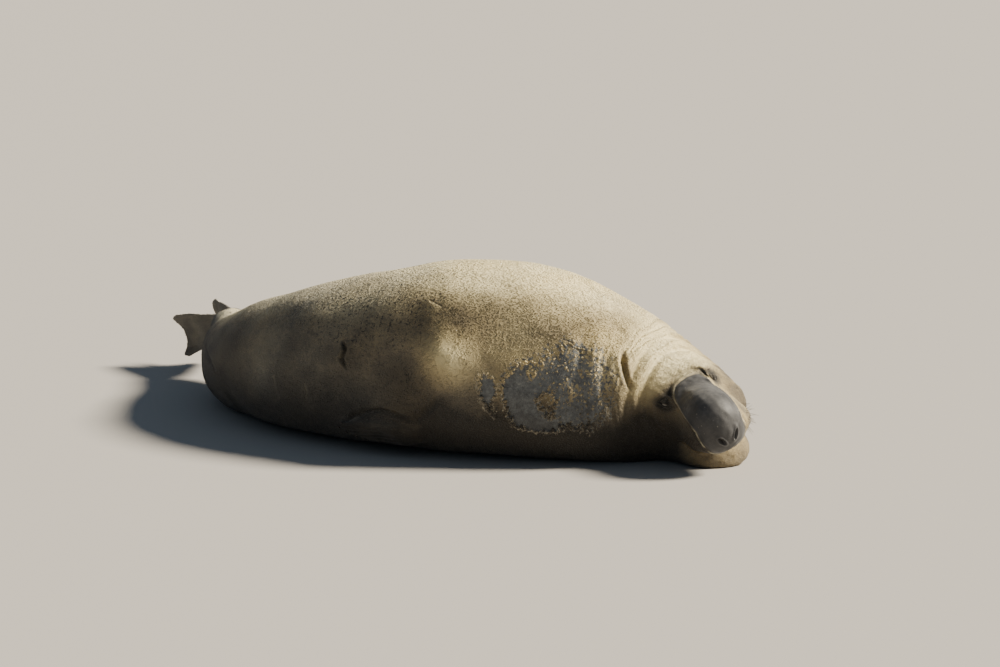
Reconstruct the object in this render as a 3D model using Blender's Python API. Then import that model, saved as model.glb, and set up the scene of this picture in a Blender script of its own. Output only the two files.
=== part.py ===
"""A southern elephant seal asleep on its belly, life size, its head turned to its right.

Metres, +Z up. +X runs along the animal to its head, +Y is its left side, and the floor is z = 0.
The flesh is one loft along a bent spine. The jaw, flippers, tail, eyes and nails are set against it, and
thin plane cuts part it into the lengths that a person would name.
"""

import math

import bmesh
import bpy
import numpy as np
from mathutils import Matrix, Vector

# The gap that pieces keep where they meet, and how far a cutter is grown to leave it at sharp corners too
GAP = 0.0003
CUTTER_GROWTH = 0.0006

# How finely the loft is drawn
RING_SIDES = 40
TRUNK_STEP = 0.090
HEAD_STEP = 0.026
HEAD_START = 3.15
END_RINGS = 5
SMALLEST_RING = 0.10

# The nose tip lies at this distance along the spine, and both ends of the loft are rounded off over a length
NOSE_TIP = 3.92
NOSE_ROUNDING = 0.115
RUMP_ROUNDING = 0.060
SPINE_STEP = 0.01

# The stations of the trunk and head, from the rump to the nose. Each row holds the distance along the
# spine, the heading, the pitch down and the roll to the right in degrees, the half width, the reach above
# and below the spine, and the height of the spine over the floor.
STATIONS = (
    (-0.18, -36, 0, 12, 0.104, 0.106, 0.106, 0.312),
    (0.00, -36, 0, 8, 0.146, 0.132, 0.138, 0.288),
    (0.24, -35, 0, 4, 0.222, 0.172, 0.196, 0.262),
    (0.60, -27, 0, 0, 0.340, 0.275, 0.268, 0.256),
    (0.98, -13, 0, 0, 0.465, 0.375, 0.305, 0.290),
    (1.40, 0, 0, 0, 0.550, 0.465, 0.345, 0.330),
    (1.80, 7, 0, 0, 0.600, 0.530, 0.375, 0.360),
    (2.22, 13, 0, 0, 0.605, 0.580, 0.400, 0.385),
    (2.55, 18, 0, 0, 0.565, 0.585, 0.390, 0.375),
    (2.83, 20, 1, 0, 0.500, 0.535, 0.370, 0.355),
    (3.05, 18, 4, 4, 0.430, 0.445, 0.350, 0.335),
    (3.23, 8, 8, 12, 0.360, 0.325, 0.325, 0.322),
    (3.38, -9, 11, 20, 0.290, 0.208, 0.285, 0.318),
    (3.49, -21, 13, 25, 0.236, 0.165, 0.215, 0.312),
    (3.565, -25, 14, 26, 0.168, 0.146, 0.170, 0.303),
    (3.62, -25, 14, 26, 0.140, 0.158, 0.163, 0.294),
    (3.70, -25, 14, 26, 0.142, 0.174, 0.162, 0.278),
    (3.78, -25, 14, 26, 0.136, 0.168, 0.155, 0.260),
    (3.92, -25, 14, 26, 0.118, 0.142, 0.140, 0.228),
)
UPPER_ROUNDNESS = 2.15
LOWER_ROUNDNESS = 2.9

# Swellings and hollows of the loft: distance along the spine, place to the left and up from it, spread
# along and across, and how far the skin stands out.
SWELLINGS = (
    (3.465, 0.130, 0.155, 0.050, 0.055, 0.022),
    (3.465, -0.130, 0.155, 0.050, 0.055, 0.022),
    (3.500, 0.180, 0.045, 0.040, 0.045, -0.012),
    (3.500, -0.180, 0.045, 0.040, 0.045, -0.012),
    (3.540, 0.130, 0.110, 0.036, 0.042, 0.012),
    (3.540, -0.130, 0.110, 0.036, 0.042, 0.012),
    (3.700, 0.115, -0.095, 0.080, 0.065, 0.022),
    (3.700, -0.115, -0.095, 0.080, 0.065, 0.022),
    (3.430, 0.000, 0.220, 0.120, 0.090, 0.010),
    (3.520, 0.130, -0.170, 0.100, 0.110, 0.110),
    (3.530, 0.200, -0.060, 0.080, 0.085, 0.060),
    (3.660, 0.150, -0.050, 0.090, 0.070, 0.045),
    (3.740, 0.150, -0.080, 0.075, 0.070, 0.048),
    (0.850, -0.420, -0.220, 0.350, 0.150, -0.050),
    (0.850, 0.420, -0.220, 0.350, 0.150, -0.050),
    (2.330, -0.560, 0.080, 0.240, 0.200, 0.025),
    (2.330, 0.560, 0.080, 0.240, 0.200, 0.025),
    (2.000, -0.500, -0.250, 0.260, 0.150, -0.020),
    (2.000, 0.500, -0.250, 0.260, 0.150, -0.020),
)

# The planes across the spine that part the trunk and head, as distances along it
PARTED_AT = {"hindquarters": 0.72, "belly": 1.85, "chest": 2.82, "neck": 3.30, "head": 3.555}

# The throat and lower jaw lie flat on the floor under the snout: distance along the spine, half width and
# height, with the middle a little to the animal's left
JAW_STATIONS = (
    (3.12, 0.260, 0.180),
    (3.30, 0.240, 0.215),
    (3.44, 0.225, 0.215),
    (3.53, 0.210, 0.185),
    (3.60, 0.175, 0.150),
    (3.64, 0.130, 0.120),
    (3.665, 0.080, 0.085),
    (3.675, 0.028, 0.045),
)
JAW_SHIFT_LEFT = 0.115
JAW_STEP = 0.015
JAW_SIDES = 24
JAW_ROUNDNESS = 2.3
JAW_SUNK = 0.02

# Eyes
EYE_RADIUS = 0.027
EYE_ALONG = 3.540
EYE_ANGLE = 41
EYE_LID = 0.004
SLIT_LENGTH = 0.066
SLIT_HEIGHT = 0.014
EYE_SEGMENTS = 14
EYE_RINGS = 8

# Openings of the head
EAR_ALONG = 3.43
EAR_ANGLE = 12
EAR_RADIUS = 0.006
EAR_DEPTH = 0.016
NOSTRIL_LEFT = 0.046
NOSTRIL_UP = -0.030
NOSTRIL_HALF_SIZES = (0.028, 0.009, 0.024)
NOSTRIL_SLANT = 28

# Fore flippers, laid back along the flanks with the lower edge near the floor
FORE_LENGTH = 0.44
FORE_ROOT_ALONG = 2.20
FORE_MIDDLE_ANGLE = -33
FORE_HALF_ANGLE = 13
FORE_ROOT_THICKNESS = 0.075
FORE_BLADE_THICKNESS = 0.026
FORE_TRAILING_SHORTER = 0.30
FORE_LEADING_ROUNDED = 0.10
FORE_ROOT_NARROWER = 0.38
FORE_SUNK = 0.030
FORE_LIFT = 0.062
FORE_LIFTED_BY = 0.30
FORE_TIP_LOWER = 0.012
FORE_DIGIT_RISE = 0.006
NAIL_LENGTH = 0.034
NAIL_RADIUS = 0.0065
NAIL_TIP_RADIUS = 0.0015
NAIL_SPREAD = 0.92
NAIL_FORWARD = 0.008
NAIL_RAISED = 0.004
DIGITS = 5

# Hind flippers, sole to sole behind the rump, half folded. Both are turned to the animal's right and
# hang a little, the left and then the right one by these degrees.
HIND_TURNED = (6, 18)
HIND_LOWERED = (9, 12)
HIND_LENGTH = 0.52
HIND_ANKLE_HALF_WIDTH = 0.070
HIND_FAN_HALF_WIDTH = 0.132
HIND_ANKLE_THICKNESS = 0.066
HIND_BLADE_THICKNESS = 0.020
HIND_SPACING = 0.046
HIND_SUNK = 0.12
HIND_FAN_STARTS = 0.22
HIND_MIDDLE_SHORTER = 0.13
HIND_LOBE = 0.78
HIND_LOBE_ROUNDED = 0.12
HIND_APART = 0.012
HIND_CUPPED = 0.020
HIND_DIGIT_RISE = 0.012

# The short tail between the ankles
TAIL_LENGTH = 0.15
TAIL_HALF_WIDTH = 0.026
TAIL_THICKNESS = 0.022
TAIL_SUNK = 0.06
TAIL_UP = 0.042

# Colours
COAT_TAN = (0.36, 0.31, 0.22)
COAT_PALE = (0.52, 0.48, 0.36)
COAT_BROWN = (0.21, 0.18, 0.13)
SKIN_SLATE = (0.10, 0.10, 0.10)
EYE_BLACK = (0.01, 0.01, 0.012)
NAIL_DARK = (0.04, 0.035, 0.03)


def smooth_value(stations, distance, column):
    """Value of a column of stations at a distance, on a curve that never swings past its stations."""
    along = [row[0] for row in stations]
    value = [row[column] for row in stations]
    steps = [(value[i + 1] - value[i]) / (along[i + 1] - along[i]) for i in range(len(along) - 1)]
    slopes = [steps[0]]
    for before, after in zip(steps, steps[1:]):
        same_way = before * after > 0
        slopes.append(2 * before * after / (before + after) if same_way else 0.0)
    slopes.append(steps[-1])
    i = min(max(int(np.searchsorted(along, distance)) - 1, 0), len(steps) - 1)
    width = along[i + 1] - along[i]
    t = min(max((distance - along[i]) / width, 0.0), 1.0)
    start = (1 + 2 * t) * (1 - t) ** 2 * value[i] + t * (1 - t) ** 2 * width * slopes[i]
    end = t * t * (3 - 2 * t) * value[i + 1] + t * t * (t - 1) * width * slopes[i + 1]
    return start + end


def spine_frame(distance):
    """Rotation whose columns are forward, left and up on the spine."""
    heading, pitch, roll = (math.radians(smooth_value(STATIONS, distance, k)) for k in (1, 2, 3))
    level_forward = Vector((math.cos(heading), math.sin(heading), 0))
    level_left = Vector((-math.sin(heading), math.cos(heading), 0))
    forward = level_forward * math.cos(pitch) - Vector((0, 0, math.sin(pitch)))
    level_up = forward.cross(level_left)
    left = level_left * math.cos(roll) + level_up * math.sin(roll)
    up = level_up * math.cos(roll) - level_left * math.sin(roll)
    return Matrix((forward, left, up)).transposed()


RUMP = STATIONS[0][0]


def walk_spine():
    """Points of the spine, found by walking along its heading from the rump."""
    points = [Vector((0, 0, STATIONS[0][7]))]
    for i in range(1, int(round((NOSE_TIP - RUMP) / SPINE_STEP)) + 1):
        distance = RUMP + i * SPINE_STEP
        here = points[-1] + spine_frame(distance - SPINE_STEP / 2) @ Vector((SPINE_STEP, 0, 0))
        here.z = smooth_value(STATIONS, distance, 7)
        points.append(here)
    return points


SPINE = walk_spine()


def spine_point(distance):
    place = min(max((distance - RUMP) / SPINE_STEP, 0), len(SPINE) - 1.001)
    i = int(place)
    return SPINE[i].lerp(SPINE[i + 1], place - i)


def end_rounding(distance):
    """Share of its full size that a section keeps as the loft closes at the nose and the rump."""
    to_nose = max((distance - NOSE_TIP + NOSE_ROUNDING) / NOSE_ROUNDING, 0)
    to_rump = max((RUMP + RUMP_ROUNDING - distance) / RUMP_ROUNDING, 0)
    return max(math.sqrt(max(1 - max(to_nose, to_rump) ** 2, 0)), SMALLEST_RING)


def section_point(distance, angle):
    """Left and up reach of the skin at an angle in degrees from the animal's left side."""
    rounding = end_rounding(distance)
    half_width, above, below = (rounding * smooth_value(STATIONS, distance, k) for k in (4, 5, 6))
    across, rise = math.cos(math.radians(angle)), math.sin(math.radians(angle))
    power = 2 / (UPPER_ROUNDNESS if rise >= 0 else LOWER_ROUNDNESS)
    left = half_width * math.copysign(abs(across) ** power, across)
    up = (above if rise >= 0 else below) * math.copysign(abs(rise) ** power, rise)
    reach = math.hypot(left, up)
    swell = 0.0
    for along, at_left, at_up, spread_along, spread_across, height in SWELLINGS:
        far = ((distance - along) / spread_along) ** 2
        far += ((left - at_left) ** 2 + (up - at_up) ** 2) / spread_across**2
        swell += height * math.exp(-far)
    return left * (1 + swell / reach), up * (1 + swell / reach)


def skin_point(distance, angle, lift=0.0):
    """Point in space on the skin, or lifted off it."""
    left, up = section_point(distance, angle)
    scale = 1 + lift / math.hypot(left, up)
    return spine_point(distance) + spine_frame(distance) @ Vector((0, left * scale, up * scale))


def skin_normal(distance, angle):
    """Direction straight out of the skin."""
    along = skin_point(distance + 0.004, angle) - skin_point(distance - 0.004, angle)
    around = skin_point(distance, angle + 1) - skin_point(distance, angle - 1)
    return around.cross(along).normalized()


def link(obj, collection):
    """Put an object in one collection alone."""
    for home in list(obj.users_collection):
        home.objects.unlink(obj)
    collection.objects.link(obj)
    return obj


def finish_mesh(name, mesh, collection):
    bmesh.ops.recalc_face_normals(mesh, faces=mesh.faces)
    data = bpy.data.meshes.new(name)
    mesh.to_mesh(data)
    mesh.free()
    data.shade_smooth()
    return link(bpy.data.objects.new(name, data), collection)


def loft(name, rings, collection):
    """Closed mesh of triangles through rings of equal count, with flat ends."""
    mesh = bmesh.new()
    rows = [[mesh.verts.new(point) for point in ring] for ring in rings]
    for here, ahead in zip(rows, rows[1:]):
        for i in range(len(here)):
            j = (i + 1) % len(here)
            mesh.faces.new((here[i], ahead[i], ahead[j], here[j]))
    mesh.faces.new(rows[0])
    mesh.faces.new(list(reversed(rows[-1])))
    bmesh.ops.triangulate(mesh, faces=mesh.faces)
    return finish_mesh(name, mesh, collection)


def blade(name, surface, thickness, columns, rows, collection):
    """Closed blade about a surface of two parameters, split into like triangles on both faces."""
    across = [-1 + 2 * i / (columns - 1) for i in range(columns)]
    along = [j / (rows - 1) for j in range(rows)]
    small = 0.001
    mesh = bmesh.new()
    faces = []
    for side in (0.5, -0.5):
        grid = []
        for v in along:
            line = []
            for u in across:
                here = surface(u, v)
                over = surface(u + small, v) - surface(u - small, v)
                on = surface(u, v + small) - surface(u, v - small)
                normal = over.cross(on).normalized()
                line.append(mesh.verts.new(here + normal * side * thickness(u, v)))
            grid.append(line)
        faces.append(grid)
    for grid in faces:
        for j in range(rows - 1):
            for i in range(columns - 1):
                corner, right, far, up = grid[j][i], grid[j][i + 1], grid[j + 1][i + 1], grid[j + 1][i]
                mesh.faces.new((corner, right, far))
                mesh.faces.new((corner, far, up))
    rims = []
    for grid in faces:
        root_and_right = list(grid[0]) + [line[-1] for line in grid[1:]]
        tip_and_left = list(reversed(grid[-1][:-1])) + [line[0] for line in reversed(grid[1:-1])]
        rims.append(root_and_right + tip_and_left)
    for i in range(len(rims[0])):
        j = (i + 1) % len(rims[0])
        mesh.faces.new((rims[0][i], rims[0][j], rims[1][j]))
        mesh.faces.new((rims[0][i], rims[1][j], rims[1][i]))
    return finish_mesh(name, mesh, collection)


def boolean(target, cutter, operation):
    """Apply a Boolean of one object with another, which stays as it was."""
    modifier = target.modifiers.new(operation, "BOOLEAN")
    modifier.object = cutter
    modifier.operation = operation
    modifier.solver = "EXACT"
    keep_largest(target, evaluated_mesh(target))


def evaluated_mesh(obj):
    data = bpy.data.meshes.new_from_object(obj.evaluated_get(bpy.context.evaluated_depsgraph_get()))
    obj.modifiers.clear()
    return data


def keep_largest(obj, data):
    """Give an object the largest closed surface of a mesh."""
    mesh = bmesh.new()
    mesh.from_mesh(data)
    bmesh.ops.remove_doubles(mesh, verts=mesh.verts, dist=0.000002)
    left = set(mesh.faces)
    islands = []
    while left:
        grown = {left.pop()}
        edge_of_search = set(grown)
        while edge_of_search:
            near = {f for face in edge_of_search for edge in face.edges for f in edge.link_faces}
            edge_of_search = near & left
            left -= edge_of_search
            grown |= edge_of_search
        islands.append(grown)
    keep = max(islands, key=lambda faces: sum(face.calc_area() for face in faces))
    bmesh.ops.delete(mesh, geom=[face for face in mesh.faces if face not in keep], context="FACES")
    old = obj.data
    mesh.to_mesh(data)
    mesh.free()
    obj.data = data
    bpy.data.meshes.remove(old)


def copy_of(obj, name, collection):
    twin = obj.copy()
    twin.data = obj.data.copy()
    twin.name = name
    return link(twin, collection)


def swollen(obj, amount, collection):
    """Copy of an object grown outward, for cutting a neighbour that keeps a gap to it."""
    grown = copy_of(obj, obj.name + "_grown", collection)
    modifier = grown.modifiers.new("Grow", "DISPLACE")
    modifier.strength = amount
    modifier.mid_level = 0.0
    grown.data = evaluated_mesh(grown)
    return grown


def cut_by_plane(obj, point, normal):
    """Remove what lies on the side that the normal points to, and close the cut."""
    mesh = bmesh.new()
    mesh.from_mesh(obj.data)
    geometry = list(mesh.verts) + list(mesh.edges) + list(mesh.faces)
    bmesh.ops.bisect_plane(
        mesh, geom=geometry, dist=0.00001, plane_co=point, plane_no=normal, clear_outer=True
    )
    rim = [edge for edge in mesh.edges if edge.is_boundary]
    bmesh.ops.holes_fill(mesh, edges=rim, sides=0)
    bmesh.ops.recalc_face_normals(mesh, faces=mesh.faces)
    mesh.to_mesh(obj.data)
    mesh.free()


def ellipsoid(name, centre, turn, half_sizes, segments, rings, collection):
    """Ball stretched along the axes of a rotation."""
    bpy.ops.mesh.primitive_uv_sphere_add(segments=segments, ring_count=rings, radius=1)
    ball = bpy.context.object
    ball.name = name
    ball.data.transform(Matrix.Diagonal((*half_sizes, 1)))
    ball.data.transform(turn.to_4x4())
    ball.data.transform(Matrix.Translation(centre))
    return link(ball, collection)


def material(name, colour, roughness):
    made = bpy.data.materials.new(name)
    made.use_nodes = True
    shader = made.node_tree.nodes["Principled BSDF"]
    shader.inputs["Base Color"].default_value = (*colour, 1)
    shader.inputs["Roughness"].default_value = roughness
    shader.inputs["Metallic"].default_value = 0.0
    made.diffuse_color = (*colour, 1)
    return made


def paint(obj, colour, roughness=0.75):
    obj.data.materials.clear()
    obj.data.materials.append(material(obj.name, colour, roughness))


# Start from an empty file
for old in list(bpy.data.objects):
    bpy.data.objects.remove(old, do_unlink=True)
seal = bpy.data.collections.new("elephant_seal")
cutters = bpy.data.collections.new("cutters")
bpy.context.scene.collection.children.link(seal)
bpy.context.scene.collection.children.link(cutters)


# The whole of the flesh in one loft
closing = [math.sin(math.pi / 2 * i / END_RINGS) for i in range(END_RINGS + 1)]
distances = [RUMP + RUMP_ROUNDING * (1 - part) for part in reversed(closing)]
distances += list(np.arange(RUMP + RUMP_ROUNDING + TRUNK_STEP, HEAD_START, TRUNK_STEP))
distances += list(np.arange(HEAD_START, NOSE_TIP - NOSE_ROUNDING - HEAD_STEP / 2, HEAD_STEP))
distances += [NOSE_TIP - NOSE_ROUNDING * (1 - part) for part in closing]
distances = [float(distance) for distance in distances]
angles = [360 * i / RING_SIDES for i in range(RING_SIDES)]
whole = loft("whole", [[skin_point(d, angle) for angle in angles] for d in distances], cutters)
cut_by_plane(whole, Vector((0, 0, 0)), Vector((0, 0, -1)))


# Eyes in their pockets, each seen through the slit of its lids
def eye_place(side):
    """Centre and turn of an eyeball, whose third axis looks out of the head."""
    angle = EYE_ANGLE if side > 0 else 180 - EYE_ANGLE
    outward = skin_normal(EYE_ALONG, angle)
    along = spine_frame(EYE_ALONG) @ Vector((1, 0, 0))
    along = (along - outward * along.dot(outward)).normalized()
    turn = Matrix((along, outward.cross(along), outward)).transposed()
    return skin_point(EYE_ALONG, angle) - outward * (EYE_RADIUS + EYE_LID), turn


for side, word in ((1, "left"), (-1, "right")):
    centre, turn = eye_place(side)
    eye = ellipsoid("eye_" + word, centre, turn, [EYE_RADIUS] * 3, EYE_SEGMENTS, EYE_RINGS, seal)
    paint(eye, EYE_BLACK, 0.15)
    slit_centre = centre + turn @ Vector((0, 0, EYE_RADIUS))
    slit_sizes = (SLIT_LENGTH / 2, SLIT_HEIGHT / 2, EYE_RADIUS * 0.9)
    slit = ellipsoid("slit_" + word, slit_centre, turn, slit_sizes, 12, 8, cutters)
    boolean(whole, slit, "DIFFERENCE")
    pocket_sizes = [EYE_RADIUS + GAP] * 3
    pocket = ellipsoid("pocket_" + word, centre, turn, pocket_sizes, EYE_SEGMENTS, EYE_RINGS, cutters)
    boolean(whole, pocket, "DIFFERENCE")


# Ear holes
for side, word in ((1, "left"), (-1, "right")):
    angle = EAR_ANGLE if side > 0 else 180 - EAR_ANGLE
    mouth_of_ear = skin_point(EAR_ALONG, angle)
    inward = (spine_point(EAR_ALONG) - mouth_of_ear).normalized()
    turn = inward.to_track_quat("Z", "Y").to_matrix()
    hole_sizes = (EAR_RADIUS, EAR_RADIUS, EAR_DEPTH)
    hole = ellipsoid("ear_hole_" + word, mouth_of_ear, turn, hole_sizes, 10, 6, cutters)
    boolean(whole, hole, "DIFFERENCE")


# Nostrils, two slanted slits in the front of the nose
for side, word in ((1, "left"), (-1, "right")):
    frame = spine_frame(NOSE_TIP)
    front = spine_point(NOSE_TIP - 0.012) + frame @ Vector((0, side * NOSTRIL_LEFT, NOSTRIL_UP))
    slant = Matrix.Rotation(math.radians(-side * NOSTRIL_SLANT), 3, "X")
    turn = frame @ slant @ Matrix(((0, 0, 1), (1, 0, 0), (0, 1, 0)))
    hole = ellipsoid("nostril_" + word, front, turn, NOSTRIL_HALF_SIZES, 12, 8, cutters)
    boolean(whole, hole, "DIFFERENCE")


# The throat and lower jaw
def jaw_ring(distance):
    half_width = smooth_value(JAW_STATIONS, distance, 1)
    height = smooth_value(JAW_STATIONS, distance, 2)
    heading = math.radians(smooth_value(STATIONS, distance, 1))
    left = Vector((-math.sin(heading), math.cos(heading), 0))
    middle = spine_point(distance) + left * JAW_SHIFT_LEFT
    middle.z = height * 0.42
    ring = []
    for i in range(JAW_SIDES):
        angle = 2 * math.pi * i / JAW_SIDES
        across, rise = math.cos(angle), math.sin(angle)
        power = 2 / JAW_ROUNDNESS
        reach = height * 0.58 if rise >= 0 else height * 0.42 + JAW_SUNK
        out = half_width * math.copysign(abs(across) ** power, across)
        up = reach * math.copysign(abs(rise) ** power, rise)
        ring.append(middle + left * out + Vector((0, 0, up)))
    return ring


first, last = JAW_STATIONS[0][0], JAW_STATIONS[-1][0]
jaw_distances = [float(d) for d in np.linspace(first, last, int((last - first) / JAW_STEP) + 1)]
jaw = loft("lower_jaw", [jaw_ring(d) for d in jaw_distances], seal)
cut_by_plane(jaw, Vector((0, 0, 0)), Vector((0, 0, -1)))
grown = swollen(whole, CUTTER_GROWTH, cutters)
boolean(jaw, grown, "DIFFERENCE")
paint(jaw, COAT_PALE)


# Fore flippers
def fore_outline(u):
    """Length of the blade across its width: longest at the leading digit, which lies uppermost."""
    trailing = (max(1 - u, 0) / 2) ** 1.6
    leading = max(u - 0.6, 0) / 0.4
    return 1 - FORE_TRAILING_SHORTER * trailing - FORE_LEADING_ROUNDED * leading


def fore_surface(side):
    middle = FORE_MIDDLE_ANGLE if side > 0 else 180 - FORE_MIDDLE_ANGLE

    def surface(u, v):
        v_in = max(v, 0)
        widening = 1 - FORE_ROOT_NARROWER * (1 - math.sin(math.pi * min(v_in / 1.3, 1)))
        rising = min(v_in / FORE_LIFTED_BY, 1) ** 0.7
        lift = FORE_LIFT * rising - FORE_SUNK - FORE_TIP_LOWER * max(v - FORE_LIFTED_BY, 0)
        angle = middle + side * u * FORE_HALF_ANGLE * widening
        return skin_point(FORE_ROOT_ALONG - v * FORE_LENGTH * fore_outline(u), angle, lift)

    return surface


def digit_ridge(u):
    """One on the line of a digit and nought half way to the next."""
    return 0.5 + 0.5 * math.cos(math.pi * (u + 1) * (DIGITS - 1))


def fore_thickness(u, v):
    core = FORE_ROOT_THICKNESS + (FORE_BLADE_THICKNESS - FORE_ROOT_THICKNESS) * min(v / 0.55, 1)
    edge = 1 - 0.55 * abs(u) ** 4
    tip = 1 - 0.45 * max(v - 0.75, 0) / 0.25
    return core * edge * tip + FORE_DIGIT_RISE * digit_ridge(u) * min(v / 0.5, 1)


for side, word in ((1, "left"), (-1, "right")):
    surface = fore_surface(side)
    flipper = blade("fore_flipper_" + word, surface, fore_thickness, 17, 11, seal)
    cut_by_plane(flipper, Vector((0, 0, 0.004)), Vector((0, 0, -1)))
    boolean(flipper, grown, "DIFFERENCE")
    paint(flipper, COAT_BROWN)
    grown_flipper = swollen(flipper, CUTTER_GROWTH, cutters)
    middle_angle = FORE_MIDDLE_ANGLE if side > 0 else 180 - FORE_MIDDLE_ANGLE
    outward = skin_normal(FORE_ROOT_ALONG - FORE_LENGTH, middle_angle)
    for digit in range(DIGITS):
        u = NAIL_SPREAD * (2 * digit / (DIGITS - 1) - 1)
        tip = surface(u, 1.0)
        backward = (surface(u, 1.0) - surface(u, 0.9)).normalized()
        bpy.ops.mesh.primitive_cone_add(
            vertices=8, radius1=NAIL_RADIUS, radius2=NAIL_TIP_RADIUS, depth=NAIL_LENGTH
        )
        nail = bpy.context.object
        nail.name = f"nail_{word}_{digit + 1}"
        turn = backward.to_track_quat("Z", "Y").to_matrix().to_4x4()
        place = tip + backward * NAIL_FORWARD + outward * NAIL_RAISED
        nail.data.transform(Matrix.Translation(place) @ turn)
        link(nail, seal)
        boolean(nail, grown_flipper, "DIFFERENCE")
        paint(nail, NAIL_DARK, 0.4)


# Hind flippers
RUMP_FRAME = spine_frame(RUMP)
TAILWARD = RUMP_FRAME @ Vector((-1, 0, 0))
RUMP_LEFT = RUMP_FRAME @ Vector((0, 1, 0))
RUMP_UP = RUMP_FRAME @ Vector((0, 0, 1))


def hind_outline(u):
    """Length of the fan across its width: longest at a lobe near each edge, notched in the middle."""
    notch = max(1 - (u / HIND_LOBE) ** 2, 0)
    beyond = max(abs(u) - HIND_LOBE, 0) / (1 - HIND_LOBE)
    return 1 - HIND_MIDDLE_SHORTER * notch - HIND_LOBE_ROUNDED * beyond**2


def hind_surface(side):
    turned, lowered = (math.radians(angle[side < 0]) for angle in (HIND_TURNED, HIND_LOWERED))
    level = TAILWARD * math.cos(turned) - RUMP_LEFT * math.sin(turned)
    backward = level * math.cos(lowered) - RUMP_UP * math.sin(lowered)
    upward = RUMP_UP * math.cos(lowered) + level * math.sin(lowered)
    leftward = upward.cross(backward) * -1
    root = spine_point(RUMP) - backward * HIND_SUNK + RUMP_LEFT * side * HIND_SPACING

    def surface(u, v):
        fan = max(v - HIND_FAN_STARTS, 0) / (1 - HIND_FAN_STARTS)
        half_width = HIND_ANKLE_HALF_WIDTH + (HIND_FAN_HALF_WIDTH - HIND_ANKLE_HALF_WIDTH) * fan**0.85
        length = (HIND_LENGTH + HIND_SUNK) * hind_outline(u)
        apart = side * (HIND_APART * v + HIND_CUPPED * fan * u * u)
        return root + backward * v * length + upward * u * half_width + leftward * apart

    return surface


def hind_thickness(u, v):
    core = HIND_ANKLE_THICKNESS + (HIND_BLADE_THICKNESS - HIND_ANKLE_THICKNESS) * min(v / 0.6, 1) ** 0.8
    edge = 1 - 0.5 * abs(u) ** 6
    tip = 1 - 0.5 * max(v - 0.7, 0) / 0.3
    return core * edge * tip + HIND_DIGIT_RISE * digit_ridge(u) * min(v / 0.5, 1) * (1 - 0.4 * v)


for side, word in ((1, "left"), (-1, "right")):
    flipper = blade("hind_flipper_" + word, hind_surface(side), hind_thickness, 17, 11, seal)
    boolean(flipper, grown, "DIFFERENCE")
    paint(flipper, SKIN_SLATE)


# Tail
tail_root = spine_point(RUMP) - TAILWARD * TAIL_SUNK
tail_middle = tail_root + TAILWARD * (TAIL_LENGTH + TAIL_SUNK) / 2 + RUMP_UP * TAIL_UP
tail_turn = Matrix((TAILWARD, RUMP_LEFT, RUMP_UP)).transposed()
tail_sizes = ((TAIL_LENGTH + TAIL_SUNK) / 2, TAIL_THICKNESS / 2, TAIL_HALF_WIDTH)
tail = ellipsoid("tail", tail_middle, tail_turn, tail_sizes, 12, 10, seal)
boolean(tail, grown, "DIFFERENCE")
for word in ("left", "right"):
    ankle = swollen(bpy.data.objects["hind_flipper_" + word], CUTTER_GROWTH, cutters)
    boolean(tail, ankle, "DIFFERENCE")
paint(tail, COAT_BROWN)


# The trunk and head, parted by planes across the spine
TRUNK_COLOURS = {
    "hindquarters": COAT_BROWN,
    "belly": COAT_TAN,
    "chest": COAT_TAN,
    "neck": COAT_TAN,
    "head": COAT_PALE,
    "proboscis": SKIN_SLATE,
}
behind = None
for name, colour in TRUNK_COLOURS.items():
    piece = copy_of(whole, name, seal)
    ahead = PARTED_AT.get(name)
    if behind is not None:
        forward = spine_frame(behind) @ Vector((1, 0, 0))
        cut_by_plane(piece, spine_point(behind) + forward * GAP / 2, -forward)
    if ahead is not None:
        forward = spine_frame(ahead) @ Vector((1, 0, 0))
        cut_by_plane(piece, spine_point(ahead) - forward * GAP / 2, forward)
    keep_largest(piece, piece.data.copy())
    paint(piece, colour)
    behind = ahead


# The cutters stay in their own collection, out of the model
for cutter in cutters.objects:
    cutter.hide_render = True
    cutter.display_type = "WIRE"


# The origin lies on the floor under the middle of the animal
corners = [obj.matrix_world @ vertex.co for obj in seal.objects for vertex in obj.data.vertices]
middle = Vector((0, 0, 0))
for axis in (0, 1):
    middle[axis] = (min(corner[axis] for corner in corners) + max(corner[axis] for corner in corners)) / 2
for obj in list(seal.objects) + list(cutters.objects):
    obj.data.transform(Matrix.Translation(-middle))
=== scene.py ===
import math

import bpy
import numpy as np
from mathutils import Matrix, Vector
from mathutils.bvhtree import BVHTree


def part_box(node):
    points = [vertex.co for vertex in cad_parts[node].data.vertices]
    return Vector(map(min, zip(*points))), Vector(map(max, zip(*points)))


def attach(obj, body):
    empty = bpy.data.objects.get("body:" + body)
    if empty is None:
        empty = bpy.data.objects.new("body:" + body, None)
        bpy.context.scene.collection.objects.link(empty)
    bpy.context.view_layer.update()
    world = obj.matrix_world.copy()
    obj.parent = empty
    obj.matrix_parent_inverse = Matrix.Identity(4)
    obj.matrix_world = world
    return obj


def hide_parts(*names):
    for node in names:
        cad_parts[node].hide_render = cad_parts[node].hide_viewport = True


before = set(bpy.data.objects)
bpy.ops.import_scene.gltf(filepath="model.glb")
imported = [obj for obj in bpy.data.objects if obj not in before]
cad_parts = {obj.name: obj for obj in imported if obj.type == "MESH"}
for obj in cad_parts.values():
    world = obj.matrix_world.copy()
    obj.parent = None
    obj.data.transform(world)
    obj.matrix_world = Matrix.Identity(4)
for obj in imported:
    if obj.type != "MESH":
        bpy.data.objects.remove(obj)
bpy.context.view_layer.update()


# The camera. The photograph was taken through a long lens, from in front of the animal's
# right shoulder and a little above its back. The camera stands there, 25 m away.
SIGHT_TURN = math.radians(40)
SIGHT_FALL = math.radians(10)
CAMERA_FROM_BELLY = Vector((17.2355, -19.1242, 5.0139))
CAMERA_LENS = 177.2
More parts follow.
